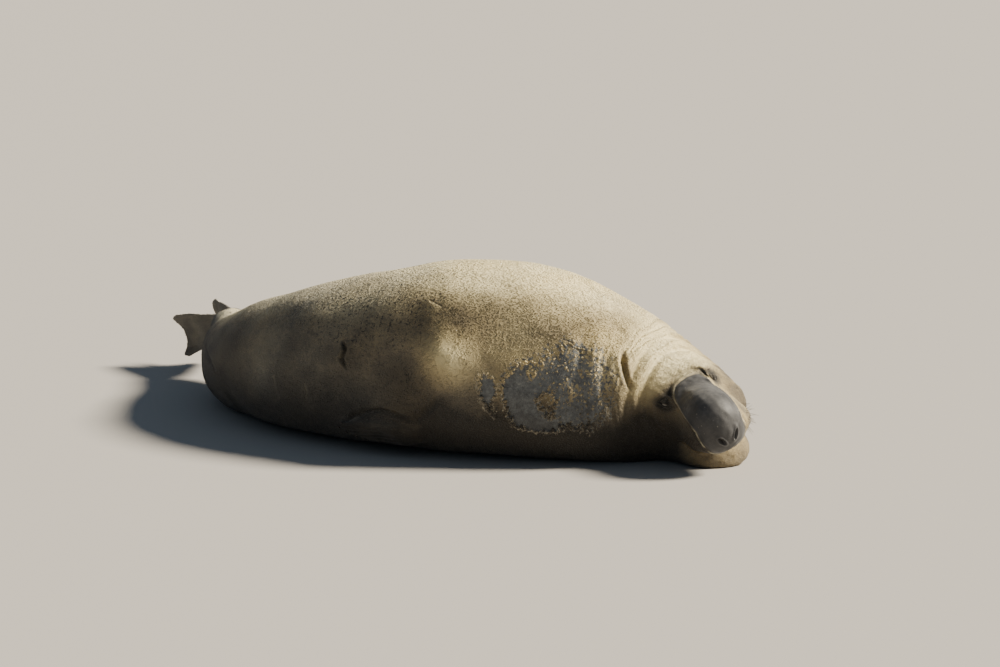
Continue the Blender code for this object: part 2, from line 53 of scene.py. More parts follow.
PICTURE_WIDTH = 1000
PICTURE_HEIGHT = 667

belly_low, belly_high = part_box("belly")
belly_middle = Vector(((belly_low.x + belly_high.x) / 2, (belly_low.y + belly_high.y) / 2, 0))
sight = Vector((-math.sin(SIGHT_TURN) * math.cos(SIGHT_FALL), math.cos(SIGHT_TURN) * math.cos(SIGHT_FALL),
                -math.sin(SIGHT_FALL)))
bpy.ops.object.camera_add(location=belly_middle + CAMERA_FROM_BELLY,
                          rotation=sight.to_track_quat("-Z", "Y").to_euler())
camera = bpy.context.object
camera.data.lens = CAMERA_LENS
camera.data.clip_end = 200
bpy.context.scene.camera = camera
camera_place = camera.location.copy()
picture_right = Vector((math.cos(SIGHT_TURN), math.sin(SIGHT_TURN), 0))
picture_up = picture_right.cross(sight)
PIXELS_PER_SLOPE = PICTURE_WIDTH * CAMERA_LENS / camera.data.sensor_width


# The skin. A seal has one unbroken hide over thick blubber, so one mesh stands for all the
# solids of flesh. It is made of copies of them, fused and smoothed, and lies a coat's depth
# inside them.
TRUNK = ("hindquarters", "belly", "chest", "neck", "head", "proboscis", "lower_jaw", "tail")
FLIPPERS = ("fore_flipper_left", "fore_flipper_right", "hind_flipper_left", "hind_flipper_right")
ROUGH_VOXEL = 0.016
FINE_VOXEL = 0.008
COAT_DEPTH = 0.003
LOWEST = 0.0006         # of the skin and coat over the floor
SAME_PLACE = 0.00001


def pick(active, *others):
    """Select only these pieces, the first of them as the active one."""
    bpy.ops.object.select_all(action="DESELECT")
    for piece in (active, *others):
        piece.select_set(True)
    bpy.context.view_layer.objects.active = active


def copies_of(names, piece_name):
    """One object made of copies of CAD solids, with their loose triangles merged."""
    copies = [bpy.data.objects.new(piece_name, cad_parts[name].data.copy()) for name in names]
    for piece in copies:
        bpy.context.collection.objects.link(piece)
    pick(*reversed(copies))
    bpy.ops.object.join()
    piece = bpy.context.object
    piece.name = piece_name
    bpy.ops.object.mode_set(mode="EDIT")
    bpy.ops.mesh.select_all(action="SELECT")
    bpy.ops.mesh.remove_doubles(threshold=SAME_PLACE)
    bpy.ops.object.mode_set(mode="OBJECT")
    return piece


def apply_modifier(piece, kind, **settings):
    """Add one modifier to a piece and apply it."""
    bpy.context.view_layer.objects.active = piece
    modifier = piece.modifiers.new(kind.title(), kind)
    for key, value in settings.items():
        setattr(modifier, key, value)
    bpy.ops.object.modifier_apply(modifier=modifier.name)


skin = copies_of(TRUNK + FLIPPERS, "skin")
apply_modifier(skin, "REMESH", mode="VOXEL", voxel_size=ROUGH_VOXEL)
apply_modifier(skin, "SMOOTH", factor=0.5, iterations=22)
pick(skin, copies_of(FLIPPERS, "flipper_copies"))
bpy.ops.object.join()
apply_modifier(skin, "REMESH", mode="VOXEL", voxel_size=FINE_VOXEL)
apply_modifier(skin, "SMOOTH", factor=0.5, iterations=5)


def points_of(piece):
    """The places of a mesh's points, as an array."""
    values = np.empty(len(piece.data.vertices) * 3, np.float32)
    piece.data.vertices.foreach_get("co", values)
    return values.reshape(-1, 3).astype(float)


def normals_of(piece):
    """The outward directions at a mesh's points, as an array."""
    values = np.empty(len(piece.data.vertices) * 3, np.float32)
    piece.data.vertices.foreach_get("normal", values)
    return values.reshape(-1, 3).astype(float)


def move_points(piece, places):
    """Put a mesh's points at new places."""
    piece.data.vertices.foreach_set("co", places.astype(np.float32).ravel())
    piece.data.update()


def tree_of(piece):
    """A search tree of a mesh's faces."""
    return BVHTree.FromObject(piece, bpy.context.evaluated_depsgraph_get())


def row_lengths(rows):
    """How long each row of an array is."""
    return np.linalg.norm(rows, axis=1)


# How the body lies. This row of places down the middle of the body, measured from under the
# middle of the belly, gives the way the coat lies and where along the body each mark is.
SPINE = (  # along, forward, left, height, roll to the right in degrees
    (-0.18, -1.279, 0.584, 0.312, 12),
    (0.00, -1.133, 0.478, 0.288, 8),
    (0.24, -0.938, 0.338, 0.262, 4),
    (0.60, -0.632, 0.149, 0.256, 0),
    (0.98, -0.275, 0.019, 0.290, 0),
    (1.40, 0.141, -0.026, 0.330, 0),
    (1.80, 0.540, 0.000, 0.360, 0),
    (2.22, 0.954, 0.073, 0.385, 0),
    (2.55, 1.271, 0.162, 0.375, 0),
    (2.83, 1.536, 0.254, 0.355, 0),
    (3.05, 1.743, 0.327, 0.335, 4),
    (3.23, 1.917, 0.370, 0.322, 12),
    (3.38, 2.064, 0.370, 0.318, 20),
    (3.49, 2.168, 0.341, 0.312, 25),
    (3.66, 2.318, 0.273, 0.286, 26),
    (3.92, 2.547, 0.167, 0.228, 26),
)
SPINE_SPACING = 0.02

spine_rows = np.array(SPINE)
spine_along = np.arange(spine_rows[0, 0], spine_rows[-1, 0], SPINE_SPACING)
spine_places = np.stack([np.interp(spine_along, spine_rows[:, 0], spine_rows[:, k]) for k in (1, 2, 3)], 1)
for pass_over in range(4):
    spine_places[1:-1] = (spine_places[:-2] + 2 * spine_places[1:-1] + spine_places[2:]) / 4
spine_places += np.array(belly_middle)
spine_roll = np.radians(np.interp(spine_along, spine_rows[:, 0], spine_rows[:, 4]))
spine_ahead = np.gradient(spine_places, axis=0)
spine_ahead /= row_lengths(spine_ahead)[:, None]
level_left = np.cross([0, 0, 1], spine_ahead)
level_left /= row_lengths(level_left)[:, None]
level_up = np.cross(spine_ahead, level_left)
spine_left = level_left * np.cos(spine_roll)[:, None] + level_up * np.sin(spine_roll)[:, None]
spine_up = level_up * np.cos(spine_roll)[:, None] - level_left * np.sin(spine_roll)[:, None]


def body_place(places):
    """Where places lie on the body: distance along it, angle round it from its left, and row of the spine."""
    row = np.empty(len(places), int)
    for start in range(0, len(places), 20000):
        part = places[start:start + 20000]
        far = ((part[:, None, :] - spine_places[None, :, :]) ** 2).sum(2)
        row[start:start + 20000] = far.argmin(1)
    out = places - spine_places[row]
    along = spine_along[row] + (out * spine_ahead[row]).sum(1)
    angle = np.degrees(np.arctan2((out * spine_up[row]).sum(1), (out * spine_left[row]).sum(1)))
    return along, angle, row


# Marks seen in the photograph are placed on the skin through the camera. The far side of the
# body has the same marks turned over the spine.
def on_skin(x, y):
    """Place on the skin behind a point of the 1000 by 667 picture."""
    way = sight + picture_right * (x - PICTURE_WIDTH / 2) / PIXELS_PER_SLOPE
    way = way - picture_up * (y - PICTURE_HEIGHT / 2) / PIXELS_PER_SLOPE
    return np.array(skin_tree.ray_cast(camera_place, way.normalized())[0])


def line_on_skin(*points):
    """Places on the skin behind a row of points of the picture."""
    return np.array([on_skin(x, y) for x, y in points])


def in_picture(places):
    """Where places are seen in the picture."""
    out = places - np.array(camera_place)
    scale = PIXELS_PER_SLOPE / (out @ np.array(sight))
    return np.stack([PICTURE_WIDTH / 2 + out @ np.array(picture_right) * scale,
                     PICTURE_HEIGHT / 2 - out @ np.array(picture_up) * scale], 1)


def on_far_side(places):
    """The same places on the body's other side."""
    row = body_place(places)[2]
    left = ((places - spine_places[row]) * spine_left[row]).sum(1)
    turned = places - 2 * left[:, None] * spine_left[row]
    return np.array([skin_tree.find_nearest(Vector(place))[0] for place in turned])


def both_sides(x, y):
    """Places on the skin behind a point of the picture and, turned over the spine, on the far side."""
    place = on_skin(x, y)
    return place, on_far_side(place[None])[0]


def hump(values, width):
    """1 where values are nought, fading away over a width on both sides."""
    return np.exp(-(values / width) ** 2)


def spot(middle, radius):
    """1 where the skin's points lie at a place, fading away over a radius."""
    return hump(row_lengths(points - middle), radius)


def distance_to_line(places, line):
    """How far places lie from a line, and how far along it from 0 to 1."""
    best = np.full(len(places), 9.0)
    share = np.zeros(len(places))
    for step in range(len(line) - 1):
        start, run = line[step], line[step + 1] - line[step]
        across = np.clip(((places - start) @ run) / (run @ run), 0, 1)
        far = row_lengths(places - start - across[:, None] * run)
        nearer = far < best
        best[nearer] = far[nearer]
        share[nearer] = (step + across[nearer]) / (len(line) - 1)
    return best, share


def lumps(places, size, seed, waves=10):
    """Uneven values about from -1 to 1 whose lumps are about as large as size."""
    chance = np.random.default_rng(seed)
    total = np.zeros(len(places))
    for wave in range(waves):
        way = chance.normal(size=3)
        way *= 2 * math.pi / size * chance.uniform(0.6, 1.5) / np.linalg.norm(way)
        total += np.sin(places @ way + chance.uniform(0, 2 * math.pi))
    return total / math.sqrt(2 * waves)


# Where the old coat has peeled away in the moult. On the side toward the camera each patch is
# an outline in the picture. The other side has round patches of its own, by distance along
# the body, angle and radius in metres.
PEELED_OUTLINES = (
    ((478, 378), (483, 376), (492, 379), (495, 391), (491, 404), (494, 415), (487, 408), (480, 395)),
    ((504, 377), (514, 369), (526, 362), (540, 364), (551, 353), (565, 346), (579, 349), (592, 354),
     (601, 362), (609, 377), (604, 391), (608, 405), (600, 420), (578, 428), (566, 424), (556, 431),
     (530, 431), (514, 424), (506, 410), (501, 395)),
)
KEPT_ISLANDS = ((546, 402, 0.045), (549, 414, 0.026), (531, 374, 0.016), (570, 392, 0.018))
FAR_MOULT_DISCS = (
    (2.62, 18, 0.13), (2.80, 6, 0.16), (2.98, 20, 0.11), (2.42, 2, 0.08), (1.30, 30, 0.12), (1.42, 12, 0.09),
)
METRES_PER_PIXEL = 0.0052

skin_tree = tree_of(skin)
far_moult_middles = []
for along, angle, radius in FAR_MOULT_DISCS:
    row = int(np.abs(spine_along - along).argmin())
    turn = math.radians(angle)
    way = Vector(spine_left[row] * math.cos(turn) + spine_up[row] * math.sin(turn))
    start = Vector(spine_places[row])
    far_moult_middles.append(np.array(skin_tree.ray_cast(start + way * 2, -way)[0]))
kept_middles = [on_skin(x, y) for x, y, radius in KEPT_ISLANDS]


def outside_outline(seen, outline):
    """How far points of the picture lie outside an outline in it, under nought inside."""
    far = np.full(len(seen), 999.0)
    inside = np.zeros(len(seen), bool)
    for start, end in zip(outline, outline[1:] + outline[:1]):
        start, run = np.array(start, float), np.subtract(end, start)
        share = np.clip((seen - start) @ run / (run @ run), 0, 1)
        far = np.minimum(far, row_lengths(seen - start - share[:, None] * run))
        spans = (start[1] > seen[:, 1]) != (start[1] + run[1] > seen[:, 1])
        crossing = start[0] + (seen[:, 1] - start[1]) * run[0] / (run[1] or 1)
        inside ^= spans & (seen[:, 0] < crossing)
    return np.where(inside, -far, far)


def coat_left(places):
    """Metres from the edge of the peeled patches, over nought where the old coat is still on."""
    edge = np.full(len(places), 9.0)
    seen = in_picture(places)
    near_side = np.abs(body_place(places)[1]) > 90
    for outline in PEELED_OUTLINES:
        near = outside_outline(seen, outline) * METRES_PER_PIXEL
        edge = np.minimum(edge, np.where(near_side, near, 9))
    for middle, (x, y, radius) in zip(kept_middles, KEPT_ISLANDS):
        edge = np.maximum(edge, radius - row_lengths(places - middle))
    for middle, (along, angle, radius) in zip(far_moult_middles, FAR_MOULT_DISCS):
        edge = np.minimum(edge, row_lengths(places - middle) - radius)
    edge += 0.008 * lumps(places, 0.10, 3) + 0.007 * lumps(places, 0.040, 4) + 0.005 * lumps(places, 0.018, 5)
    return np.clip(edge, -0.5, 0.5)


def mottled_at(places, edge):
    """How far the coat breaks up into flecks: little at the patches' rear edges, more ahead and above."""
    seen = in_picture(places)
    flecks = np.clip((seen[:, 0] - 512) / 130 + (405 - seen[:, 1]) / 120, 0.10, 1)
    flecks = np.where(np.abs(body_place(places)[1]) > 90, flecks, 0.8)
    return flecks * np.clip(1 - edge / 0.13, 0, 1)


# Creases of the hide: points of the picture, then width, depth and lip in metres, and how
# much of it the far side has
FOLDS = (
    (((624, 353), (623, 363), (626, 376), (631, 389)), 0.013, 0.036, 0.006, 0.3),
    (((652, 342), (641, 357), (634, 373), (629, 390), (626, 408), (626, 428)), 0.020, 0.009, 0.003, 0.9),
    (((668, 351), (655, 365), (646, 381), (641, 399), (641, 419), (646, 438)), 0.016, 0.006, 0.003, 0.9),
    (((652, 402), (652, 416), (658, 428), (668, 436)), 0.014, 0.007, 0.004, 1.0),
    (((608, 348), (604, 368), (606, 392), (612, 412)), 0.030, 0.010, 0.004, 1.0),
    (((587, 332), (580, 356), (579, 384), (583, 414)), 0.036, 0.009, 0.004, 1.0),
    (((343, 341), (345, 350), (342, 358), (345, 368)), 0.010, 0.034, 0.012, 0.6),
    (((344, 421), (352, 416), (364, 412), (378, 410), (394, 414), (408, 420)), 0.012, 0.022, 0.002, 1.0),
    (((408, 424), (420, 417), (431, 407), (440, 396)), 0.020, 0.014, 0.004, 1.0),
    (((205, 345), (208, 358), (215, 372)), 0.014, 0.008, 0.003, 1.0),
)
# Scars of old fights, and painted shade along three creases: points of the picture, half width, and how much paler
SCARS_AND_CREASE_SHADE = (
    (((274, 376), (275, 388), (278, 398)), 0.006, 0.16), (((305, 384), (307, 393), (306, 401)), 0.006, 0.14),
    (((262, 362), (263, 372)), 0.005, 0.10), (((648, 345), (655, 352), (664, 355)), 0.004, -0.16),
    (((658, 340), (668, 347), (676, 349)), 0.004, -0.14), (((641, 361), (650, 362)), 0.004, -0.16),
    (((560, 338), (572, 343), (580, 352)), 0.005, -0.12), (((612, 372), (620, 378)), 0.005, -0.14),
    (((668, 358), (676, 362), (690, 361)), 0.0035, -0.12), (((430, 300), (441, 306)), 0.006, -0.12),
    (((343, 342), (345, 351), (343, 358), (345, 367)), 0.010, -0.40),
    (((624, 354), (626, 370), (631, 387)), 0.014, -0.5),
    (((344, 421), (352, 416), (364, 412), (378, 410), (394, 414), (408, 420)), 0.014, -0.30),
)
fold_lines = [line_on_skin(*row[0]) for row in FOLDS]
scar_and_crease_shade_lines = [line_on_skin(*row[0]) for row in SCARS_AND_CREASE_SHADE]


def near_lines(places, lines, reach):
    """Whether places lie within reach of any of the lines."""
    return np.array([distance_to_line(places, line)[0] < reach for line in lines]).any(0)


# Finer faces where the hide is finely shaped: the face, creases, scars, flippers and the
# edges of the peeled patches. Elsewhere the trunk's faces are thinned.
FACE_STARTS = 3.42
NECK_STARTS = 3.16
THINNED_TO = 0.26


def in_box(places, name, margin):
    """Whether places lie in a CAD node's box, made larger by a margin."""
    low, high = (np.array(corner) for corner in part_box(name))
    return ((places > low - margin) & (places < high + margin)).all(1)


points = points_of(skin)
along, angle, row = body_place(points)
keep_fine = (along > NECK_STARTS) | (np.abs(coat_left(points)) < 0.035)
keep_fine |= near_lines(points, fold_lines + scar_and_crease_shade_lines, 0.032)
for name in FLIPPERS + ("tail",):
    keep_fine |= in_box(points, name, 0.01)
thinned = skin.vertex_groups.new(name="thinned")
thinned.add(np.nonzero(~keep_fine)[0].tolist(), 1.0, "REPLACE")
apply_modifier(skin, "DECIMATE", ratio=THINNED_TO, vertex_group="thinned")
skin.vertex_groups.clear()


def make_finer(piece, chosen):
    """Split the faces whose points are all chosen into four."""
    pick(piece)
    bpy.ops.object.mode_set(mode="EDIT")
    bpy.ops.mesh.select_mode(type="VERT")
    bpy.ops.mesh.select_all(action="DESELECT")
    bpy.ops.object.mode_set(mode="OBJECT")
    piece.data.vertices.foreach_set("select", chosen)
    bpy.ops.object.mode_set(mode="EDIT")
    bpy.ops.mesh.select_mode(type="VERT")
    bpy.ops.mesh.subdivide(number_cuts=1, smoothness=0.0)
    bpy.ops.object.mode_set(mode="OBJECT")


eye_middles = []
for name in ("eye_left", "eye_right"):
    low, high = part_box(name)
    eye_middles.append(np.array((low + high) / 2))
NOSTRIL_FROM_TIP = (0.046, -0.030)
NOSTRIL_HALF_SIZES = (0.024, 0.009)

nostrils = []
for side in (1, -1):
    place = spine_places[-1] + spine_left[-1] * side * NOSTRIL_FROM_TIP[0] + spine_up[-1] * NOSTRIL_FROM_TIP[1]
    nostrils.append(np.array(skin_tree.find_nearest(Vector(place + spine_ahead[-1] * 0.02))[0]))

jaw_tree = tree_of(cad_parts["lower_jaw"])
upper_trees = [tree_of(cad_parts[name]) for name in ("head", "proboscis")]
MOUTH_REACH = 0.05
MOUTH_STARTS = 3.545


def beside_mouth(places, along):
    """Metres from the line where the jaw meets the upper lips: under nought on the jaw."""
    beside = np.full(len(places), 9.0)
    for k in np.nonzero(along > MOUTH_STARTS - 0.10)[0]:
        place = Vector(places[k])
        to_jaw = jaw_tree.find_nearest(place, MOUTH_REACH)[3]
        if to_jaw is not None:
            to_upper = min(tree.find_nearest(place)[3] for tree in upper_trees)
            beside[k] = to_jaw - to_upper
    return beside


# Where the bare snout begins: degrees round from the top of the head toward the left, or
# under nought toward the right, and distance along it
SNOUT_EDGE = (
    (-180, 3.850), (-128, 3.845), (-98, 3.832), (-72, 3.815), (-60, 3.760), (-54, 3.690), (-41, 3.585),
    (-21, 3.528), (0, 3.515), (29, 3.520), (42, 3.555), (48, 3.640), (53, 3.735), (63, 3.800), (84, 3.850),
    (129, 3.845), (180, 3.850),
)
SNOUT_EDGE_SMOOTHED = 15

every_degree = np.arange(-180, 181)
snout_edge = np.interp(every_degree, *zip(*SNOUT_EDGE))
kernel = np.ones(SNOUT_EDGE_SMOOTHED) / SNOUT_EDGE_SMOOTHED
snout_edge = np.convolve(np.pad(snout_edge, SNOUT_EDGE_SMOOTHED // 2, mode="wrap"), kernel, "valid")


def inside_snout(along, angle, mouth_side):
    """Metres inside the edge of the bare snout, under nought on the coat."""
    from_top = (90 - angle + 180) % 360 - 180
    edge = 0.75 * (along - np.interp(from_top, every_degree, snout_edge))
    return np.clip(np.minimum(edge, np.where(along > 3.60, mouth_side - 0.002, 9)), -0.5, 0.5)


def near_any(places, middles, reach):
    """Whether places lie within reach of any of the middles."""
    return np.array([row_lengths(places - middle) < reach for middle in middles]).any(0)


points = points_of(skin)
along, angle, row = body_place(points)
mouth_side = beside_mouth(points, along)
bare = inside_snout(along, angle, mouth_side)
from_top = np.abs((90 - angle + 180) % 360 - 180)
fine = (along > FACE_STARTS) & (near_any(points, eye_middles, 0.085) | near_any(points, nostrils, 0.065)
                                | (np.abs(mouth_side) < 0.020) | (np.abs(bare) < 0.028))
fine |= (from_top > 98) & (from_top < 136) & (along > 3.63) & (along < 3.83)
fine |= (along < FACE_STARTS) & (np.abs(coat_left(points)) < 0.012)
fine |= near_lines(points, fold_lines[:1] + fold_lines[6:8], 0.026) | near_lines(points, scar_and_crease_shade_lines, 0.014)
make_finer(skin, fine)
points = points_of(skin)
along, angle, row = body_place(points)
mouth_side = beside_mouth(points, along)
fine = near_any(points, eye_middles, 0.050) | near_any(points, nostrils, 0.038)
fine |= (np.abs(mouth_side) < 0.010) & (along > MOUTH_STARTS)
make_finer(skin, fine)
apply_modifier(skin, "SMOOTH", factor=0.4, iterations=2)
make_finer(skin, near_any(points_of(skin), eye_middles, 0.035))


# The hide's shape: folds where the neck bends, creases, lids, nostrils, the line of the
# mouth, whisker pads, wrinkles of the snout, and digits under the skin of the flippers.
# Broad hollows and swellings of the flesh: a point of the picture, radius and height
FLESH = (
    (400, 374, 0.13, -0.045), (372, 388, 0.16, -0.014), (444, 359, 0.13, 0.045), (668, 394, 0.035, -0.010),
    (316, 360, 0.14, 0.004), (520, 425, 0.16, -0.010),
)

points = points_of(skin)
normals = normals_of(skin)
along, angle, row = body_place(points)
skin_tree = tree_of(skin)
lift = np.zeros(len(points))


def fold(line, width, depth, lip):
    """Sink a line into the hide, with soft lips on both sides of it."""
    far, share = distance_to_line(points, line)
    fading = np.clip(np.sin(np.pi * np.clip(share, 0.02, 0.98)) * 1.6, 0, 1)
    sunk = hump(far, width)
    lips = hump(far - 1.9 * width, width)
    return fading * (lip * lips - depth * sunk)


for line, (picture_points, width, depth, lip, far_share) in zip(fold_lines, FOLDS):
    lift += fold(line, width, depth, lip)
    lift += far_share * fold(on_far_side(line), width / min(1, far_share + 0.3), depth, lip)
for line, (picture_points, width, paler) in zip(scar_and_crease_shade_lines, SCARS_AND_CREASE_SHADE):
    lift -= 0.0022 * hump(distance_to_line(points, line)[0], width)
for x, y, radius, height in FLESH:
    for middle in both_sides(x, y):
        lift += height * spot(middle, radius)

on_body = np.clip((FACE_STARTS - along) / 0.15, 0, 1)
lift += on_body * (0.005 * lumps(points, 0.42, 11) + 0.0022 * lumps(points, 0.13, 12))
lift += (1 - on_body) * 0.0010 * lumps(points, 0.05, 13)
bend = np.clip((along - 2.75) / 0.3, 0, 1) * np.clip((3.42 - along) / 0.12, 0, 1)
upper = np.clip((points[:, 2] - 0.10) / 0.25, 0, 1)
ring = np.sin((along + 0.020 * lumps(points, 0.30, 14)) * 2 * math.pi / 0.095)
lift += bend * upper * 0.0020 * (1 - 2 * np.abs(ring) ** 0.6)

# The old coat is a few millimetres thick and curls up where it has torn
peel_edge = coat_left(points)
lift -= 0.0035 * np.clip(0.5 - peel_edge / 0.004, 0, 1)
curl = 0.0065 * hump(peel_edge - 0.005, 0.0055) * (0.7 + 0.5 * lumps(points, 0.11, 16))
lift += curl * np.clip(1.15 - 1.5 * mottled_at(points, peel_edge), 0, 1)

# Eyes: heavy lids are drawn over the ball with a narrow slit between, under a full brow
EYE_RADIUS = 0.027
LID_THICKNESS = 0.0032
SLIT_HALF_LENGTH = 0.030
SLIT_HALF_HEIGHT = 0.0040
slit_depth = np.zeros(len(points))
shaded = np.zeros(len(points))
lid_rows = []
for middle in eye_middles:
    here = int(body_place(middle[None])[2][0])
    outward = middle - spine_places[here]
    outward -= spine_ahead[here] * (outward @ spine_ahead[here])
    outward = outward / np.linalg.norm(outward) + 0.25 * spine_ahead[here]
    outward /= np.linalg.norm(outward)
    place = middle + outward * (EYE_RADIUS + LID_THICKNESS)
    ahead = spine_ahead[here] - outward * (spine_ahead[here] @ outward)
    ahead /= np.linalg.norm(ahead)
    over = np.cross(outward, ahead)
    over *= np.sign(over[2])
    x, y = (points - place) @ ahead, (points - place) @ over
    y = y + 0.10 * x - 3.0 * x * x + 0.004
    near = row_lengths(points - place) < 0.085
    half_height = SLIT_HALF_HEIGHT * np.clip(1 - (x / SLIT_HALF_LENGTH) ** 2, 0, 1) ** 0.6
    inside = np.clip((half_height - np.abs(y)) / 0.0018 + 0.5, 0, 1) * (half_height > 0)
    rim = hump(np.abs(y) - half_height - 0.0035, 0.0028) * np.clip(1.2 - np.abs(x) / 0.040, 0, 1)
    upper_crease = hump(y - half_height - 0.012, 0.003) * np.clip(1.3 - np.abs(x) / 0.038, 0, 1)
    lower_crease = hump(y + half_height + 0.012, 0.003) * np.clip(1.2 - np.abs(x) / 0.032, 0, 1)
    brow = np.exp(-((y - 0.038) / 0.014) ** 2 - (x / 0.050) ** 2)
    bag = np.exp(-((y + 0.028) / 0.010) ** 2 - (x / 0.035) ** 2)
    lift += near * (0.006 * brow + 0.004 * bag - 0.005 * np.exp(-(np.hypot(x, y) / 0.050) ** 4))
    lid_rows.append((middle, outward, near, inside, 0.0026 * rim - 0.0028 * upper_crease - 0.0022 * lower_crease))
    slit_depth = np.maximum(slit_depth, near * np.clip(inside * 1.3 + 0.45 * rim, 0, 1))
    shaded += near * np.exp(-((x - 0.020) / 0.050) ** 2 - ((y + 0.004) / 0.024) ** 2)

# Nostrils: two slits at the end of the snout with raised rims
for side, place in zip((1, -1), nostrils):
    long_way = spine_up[-1] * math.cos(math.radians(28)) + side * spine_left[-1] * math.sin(math.radians(28))
    long_way /= np.linalg.norm(long_way)
    short_way = np.cross(spine_ahead[-1], long_way)
    x, y = (points - place) @ long_way, (points - place) @ short_way
    near = row_lengths(points - place) < 0.06
    far = np.hypot(x / NOSTRIL_HALF_SIZES[0], y / NOSTRIL_HALF_SIZES[1])
    lift += near * (0.005 * hump(far - 1.5, 0.5) - 0.018 * np.clip(1.35 - far, 0, 1) ** 0.8)
    slit_depth = np.maximum(slit_depth, near * np.clip(1.25 - far, 0, 1))

# Mouth: a deep line between the lips from one corner to the other, with a full lip over and
# under it
mouth_side = beside_mouth(points, along)
in_mouth = np.clip((along - MOUTH_STARTS) / 0.03, 0, 1)
lift += in_mouth * 0.004 * hump(np.abs(mouth_side) - 0.014, 0.007)
lift -= in_mouth * 0.014 * hump(mouth_side, 0.0045)
slit_depth = np.maximum(slit_depth, in_mouth * hump(mouth_side, 0.0034))

# Ears: each is only a hole the width of a finger, in a shallow dimple
EAR_POINT = (664, 432)
EAR_HOLE = 0.006
EAR_DIMPLE = 0.016
for middle in both_sides(*EAR_POINT):
    lift -= 0.010 * spot(middle, EAR_HOLE) + 0.003 * spot(middle, EAR_DIMPLE)
    slit_depth = np.maximum(slit_depth, spot(middle, EAR_HOLE))

# The bare snout swells out of the coat inside a raised welt, and is finely wrinkled
bare = inside_snout(along, angle, mouth_side)
on_snout = np.clip((bare + 0.004) / 0.03, 0, 1)
wrinkle = np.sin((along + 0.010 * lumps(points, 0.09, 15)) * 2 * math.pi / 0.019)
patchy = np.clip(0.5 + 0.9 * lumps(points, 0.10, 17), 0, 1.2)
lift += on_snout * 0.0008 * wrinkle * patchy * np.clip(1.2 - np.abs(bare - 0.10) / 0.16, 0, 1)
lift += (0.0035 * hump(bare + 0.008, 0.0055) - 0.0060 * hump(bare + 0.024, 0.010)
         + 0.0050 * hump(bare - 0.018, 0.014)) * np.clip((along - 3.44) / 0.03, 0, 1)

# Whisker pads: a dimple for each whisker, in rows along both upper lips
WHISKER_ROWS = (104, 113, 122, 131)   # degrees round from the top of the head
WHISKERS_IN_ROW = 6
WHISKER_STARTS = 3.655
WHISKER_STEP = 0.022

whisker_roots = []
for side in (1, -1):
    for number_of_row, from_top in enumerate(WHISKER_ROWS):
        for number_in_row in range(WHISKERS_IN_ROW):
            place_along = WHISKER_STARTS + WHISKER_STEP * (number_in_row + 0.5 * (number_of_row % 2))
            turn = math.radians(90 + side * from_top)
            here = int(np.abs(spine_along - place_along).argmin())
            way = Vector(spine_left[here] * math.cos(turn) + spine_up[here] * math.sin(turn))
            hit = skin_tree.ray_cast(Vector(spine_places[here]) + way * 0.6, -way)
            whisker_roots.append((np.array(hit[0]), np.array(hit[1]), here, number_in_row))
pitted = np.zeros(len(points))
for place, outward, here, number_in_row in whisker_roots:
    far = row_lengths(points - place)
    lift -= 0.0022 * hump(far, 0.0035) - 0.0016 * hump(far - 0.008, 0.004)
    pitted = np.maximum(pitted, hump(far, 0.0040))

# Fore flippers: a ridge over each digit, from the wrist to its nail
for word in ("left", "right"):
    tips = [np.array(sum(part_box(f"nail_{word}_{digit}"), Vector()) / 2) for digit in (1, 2, 3, 4, 5)]
    ahead = spine_ahead[int(body_place(tips[2][None])[2][0])]
    for tip in tips:
        start = tips[2] + ahead * 0.30 + (tip - tips[2]) * 0.55
        steps = [start + (tip - start) * share for share in (0, 0.25, 0.5, 0.75, 1)]
        line = np.array([skin_tree.find_nearest(Vector(step))[0] for step in steps])
        far, share = distance_to_line(points, line)
        lift += (0.006 * hump(far, 0.009) - 0.002) * np.clip(share * 4, 0, 1) * (far < 0.05)

# The skin is drawn in by the coat's depth. The lids lie over the balls of the eyes, which
# show in the slits only, and where the body rests on the floor it is flat.
places = points + normals * (lift - COAT_DEPTH)[:, None]
for middle, outward, near, inside, lid_shape in lid_rows:
    from_middle = places - middle
    far = row_lengths(from_middle)
    covered = np.maximum(far, EYE_RADIUS + LID_THICKNESS) + lid_shape
    wanted = covered * (1 - inside) + (EYE_RADIUS - 0.0025) * inside
    share = near * np.clip((from_middle @ outward) / far / 0.35 - 0.4, 0, 1)
    places += from_middle / far[:, None] * (share * (wanted - far))[:, None]
resting = (points[:, 2] < 0.012) | (places[:, 2] < LOWEST)
places[:, 2] = np.where(resting, np.maximum(LOWEST, places[:, 2] - COAT_DEPTH), places[:, 2])
move_points(skin, places)
pick(skin)
bpy.ops.object.shade_smooth()


# What each place of the hide is like, kept on the mesh as plain numbers for its material:
# old_coat and bare are metres from an edge, the others run from 0 to 1.
points = points_of(skin)
normals = normals_of(skin)
along, angle, row = body_place(points)
skin_tree = tree_of(skin)


def near_flippers(places):
    """Whether places lie on a fore flipper's blade."""
    left, right = (in_box(places, name, 0.005) for name in FLIPPERS[:2])
    return left | right


def step_up(values, low, high):
    """0 below low, 1 above high and a smooth rise between."""
    share = np.clip((values - low) / (high - low), 0, 1)
    return share * share * (3 - 2 * share)
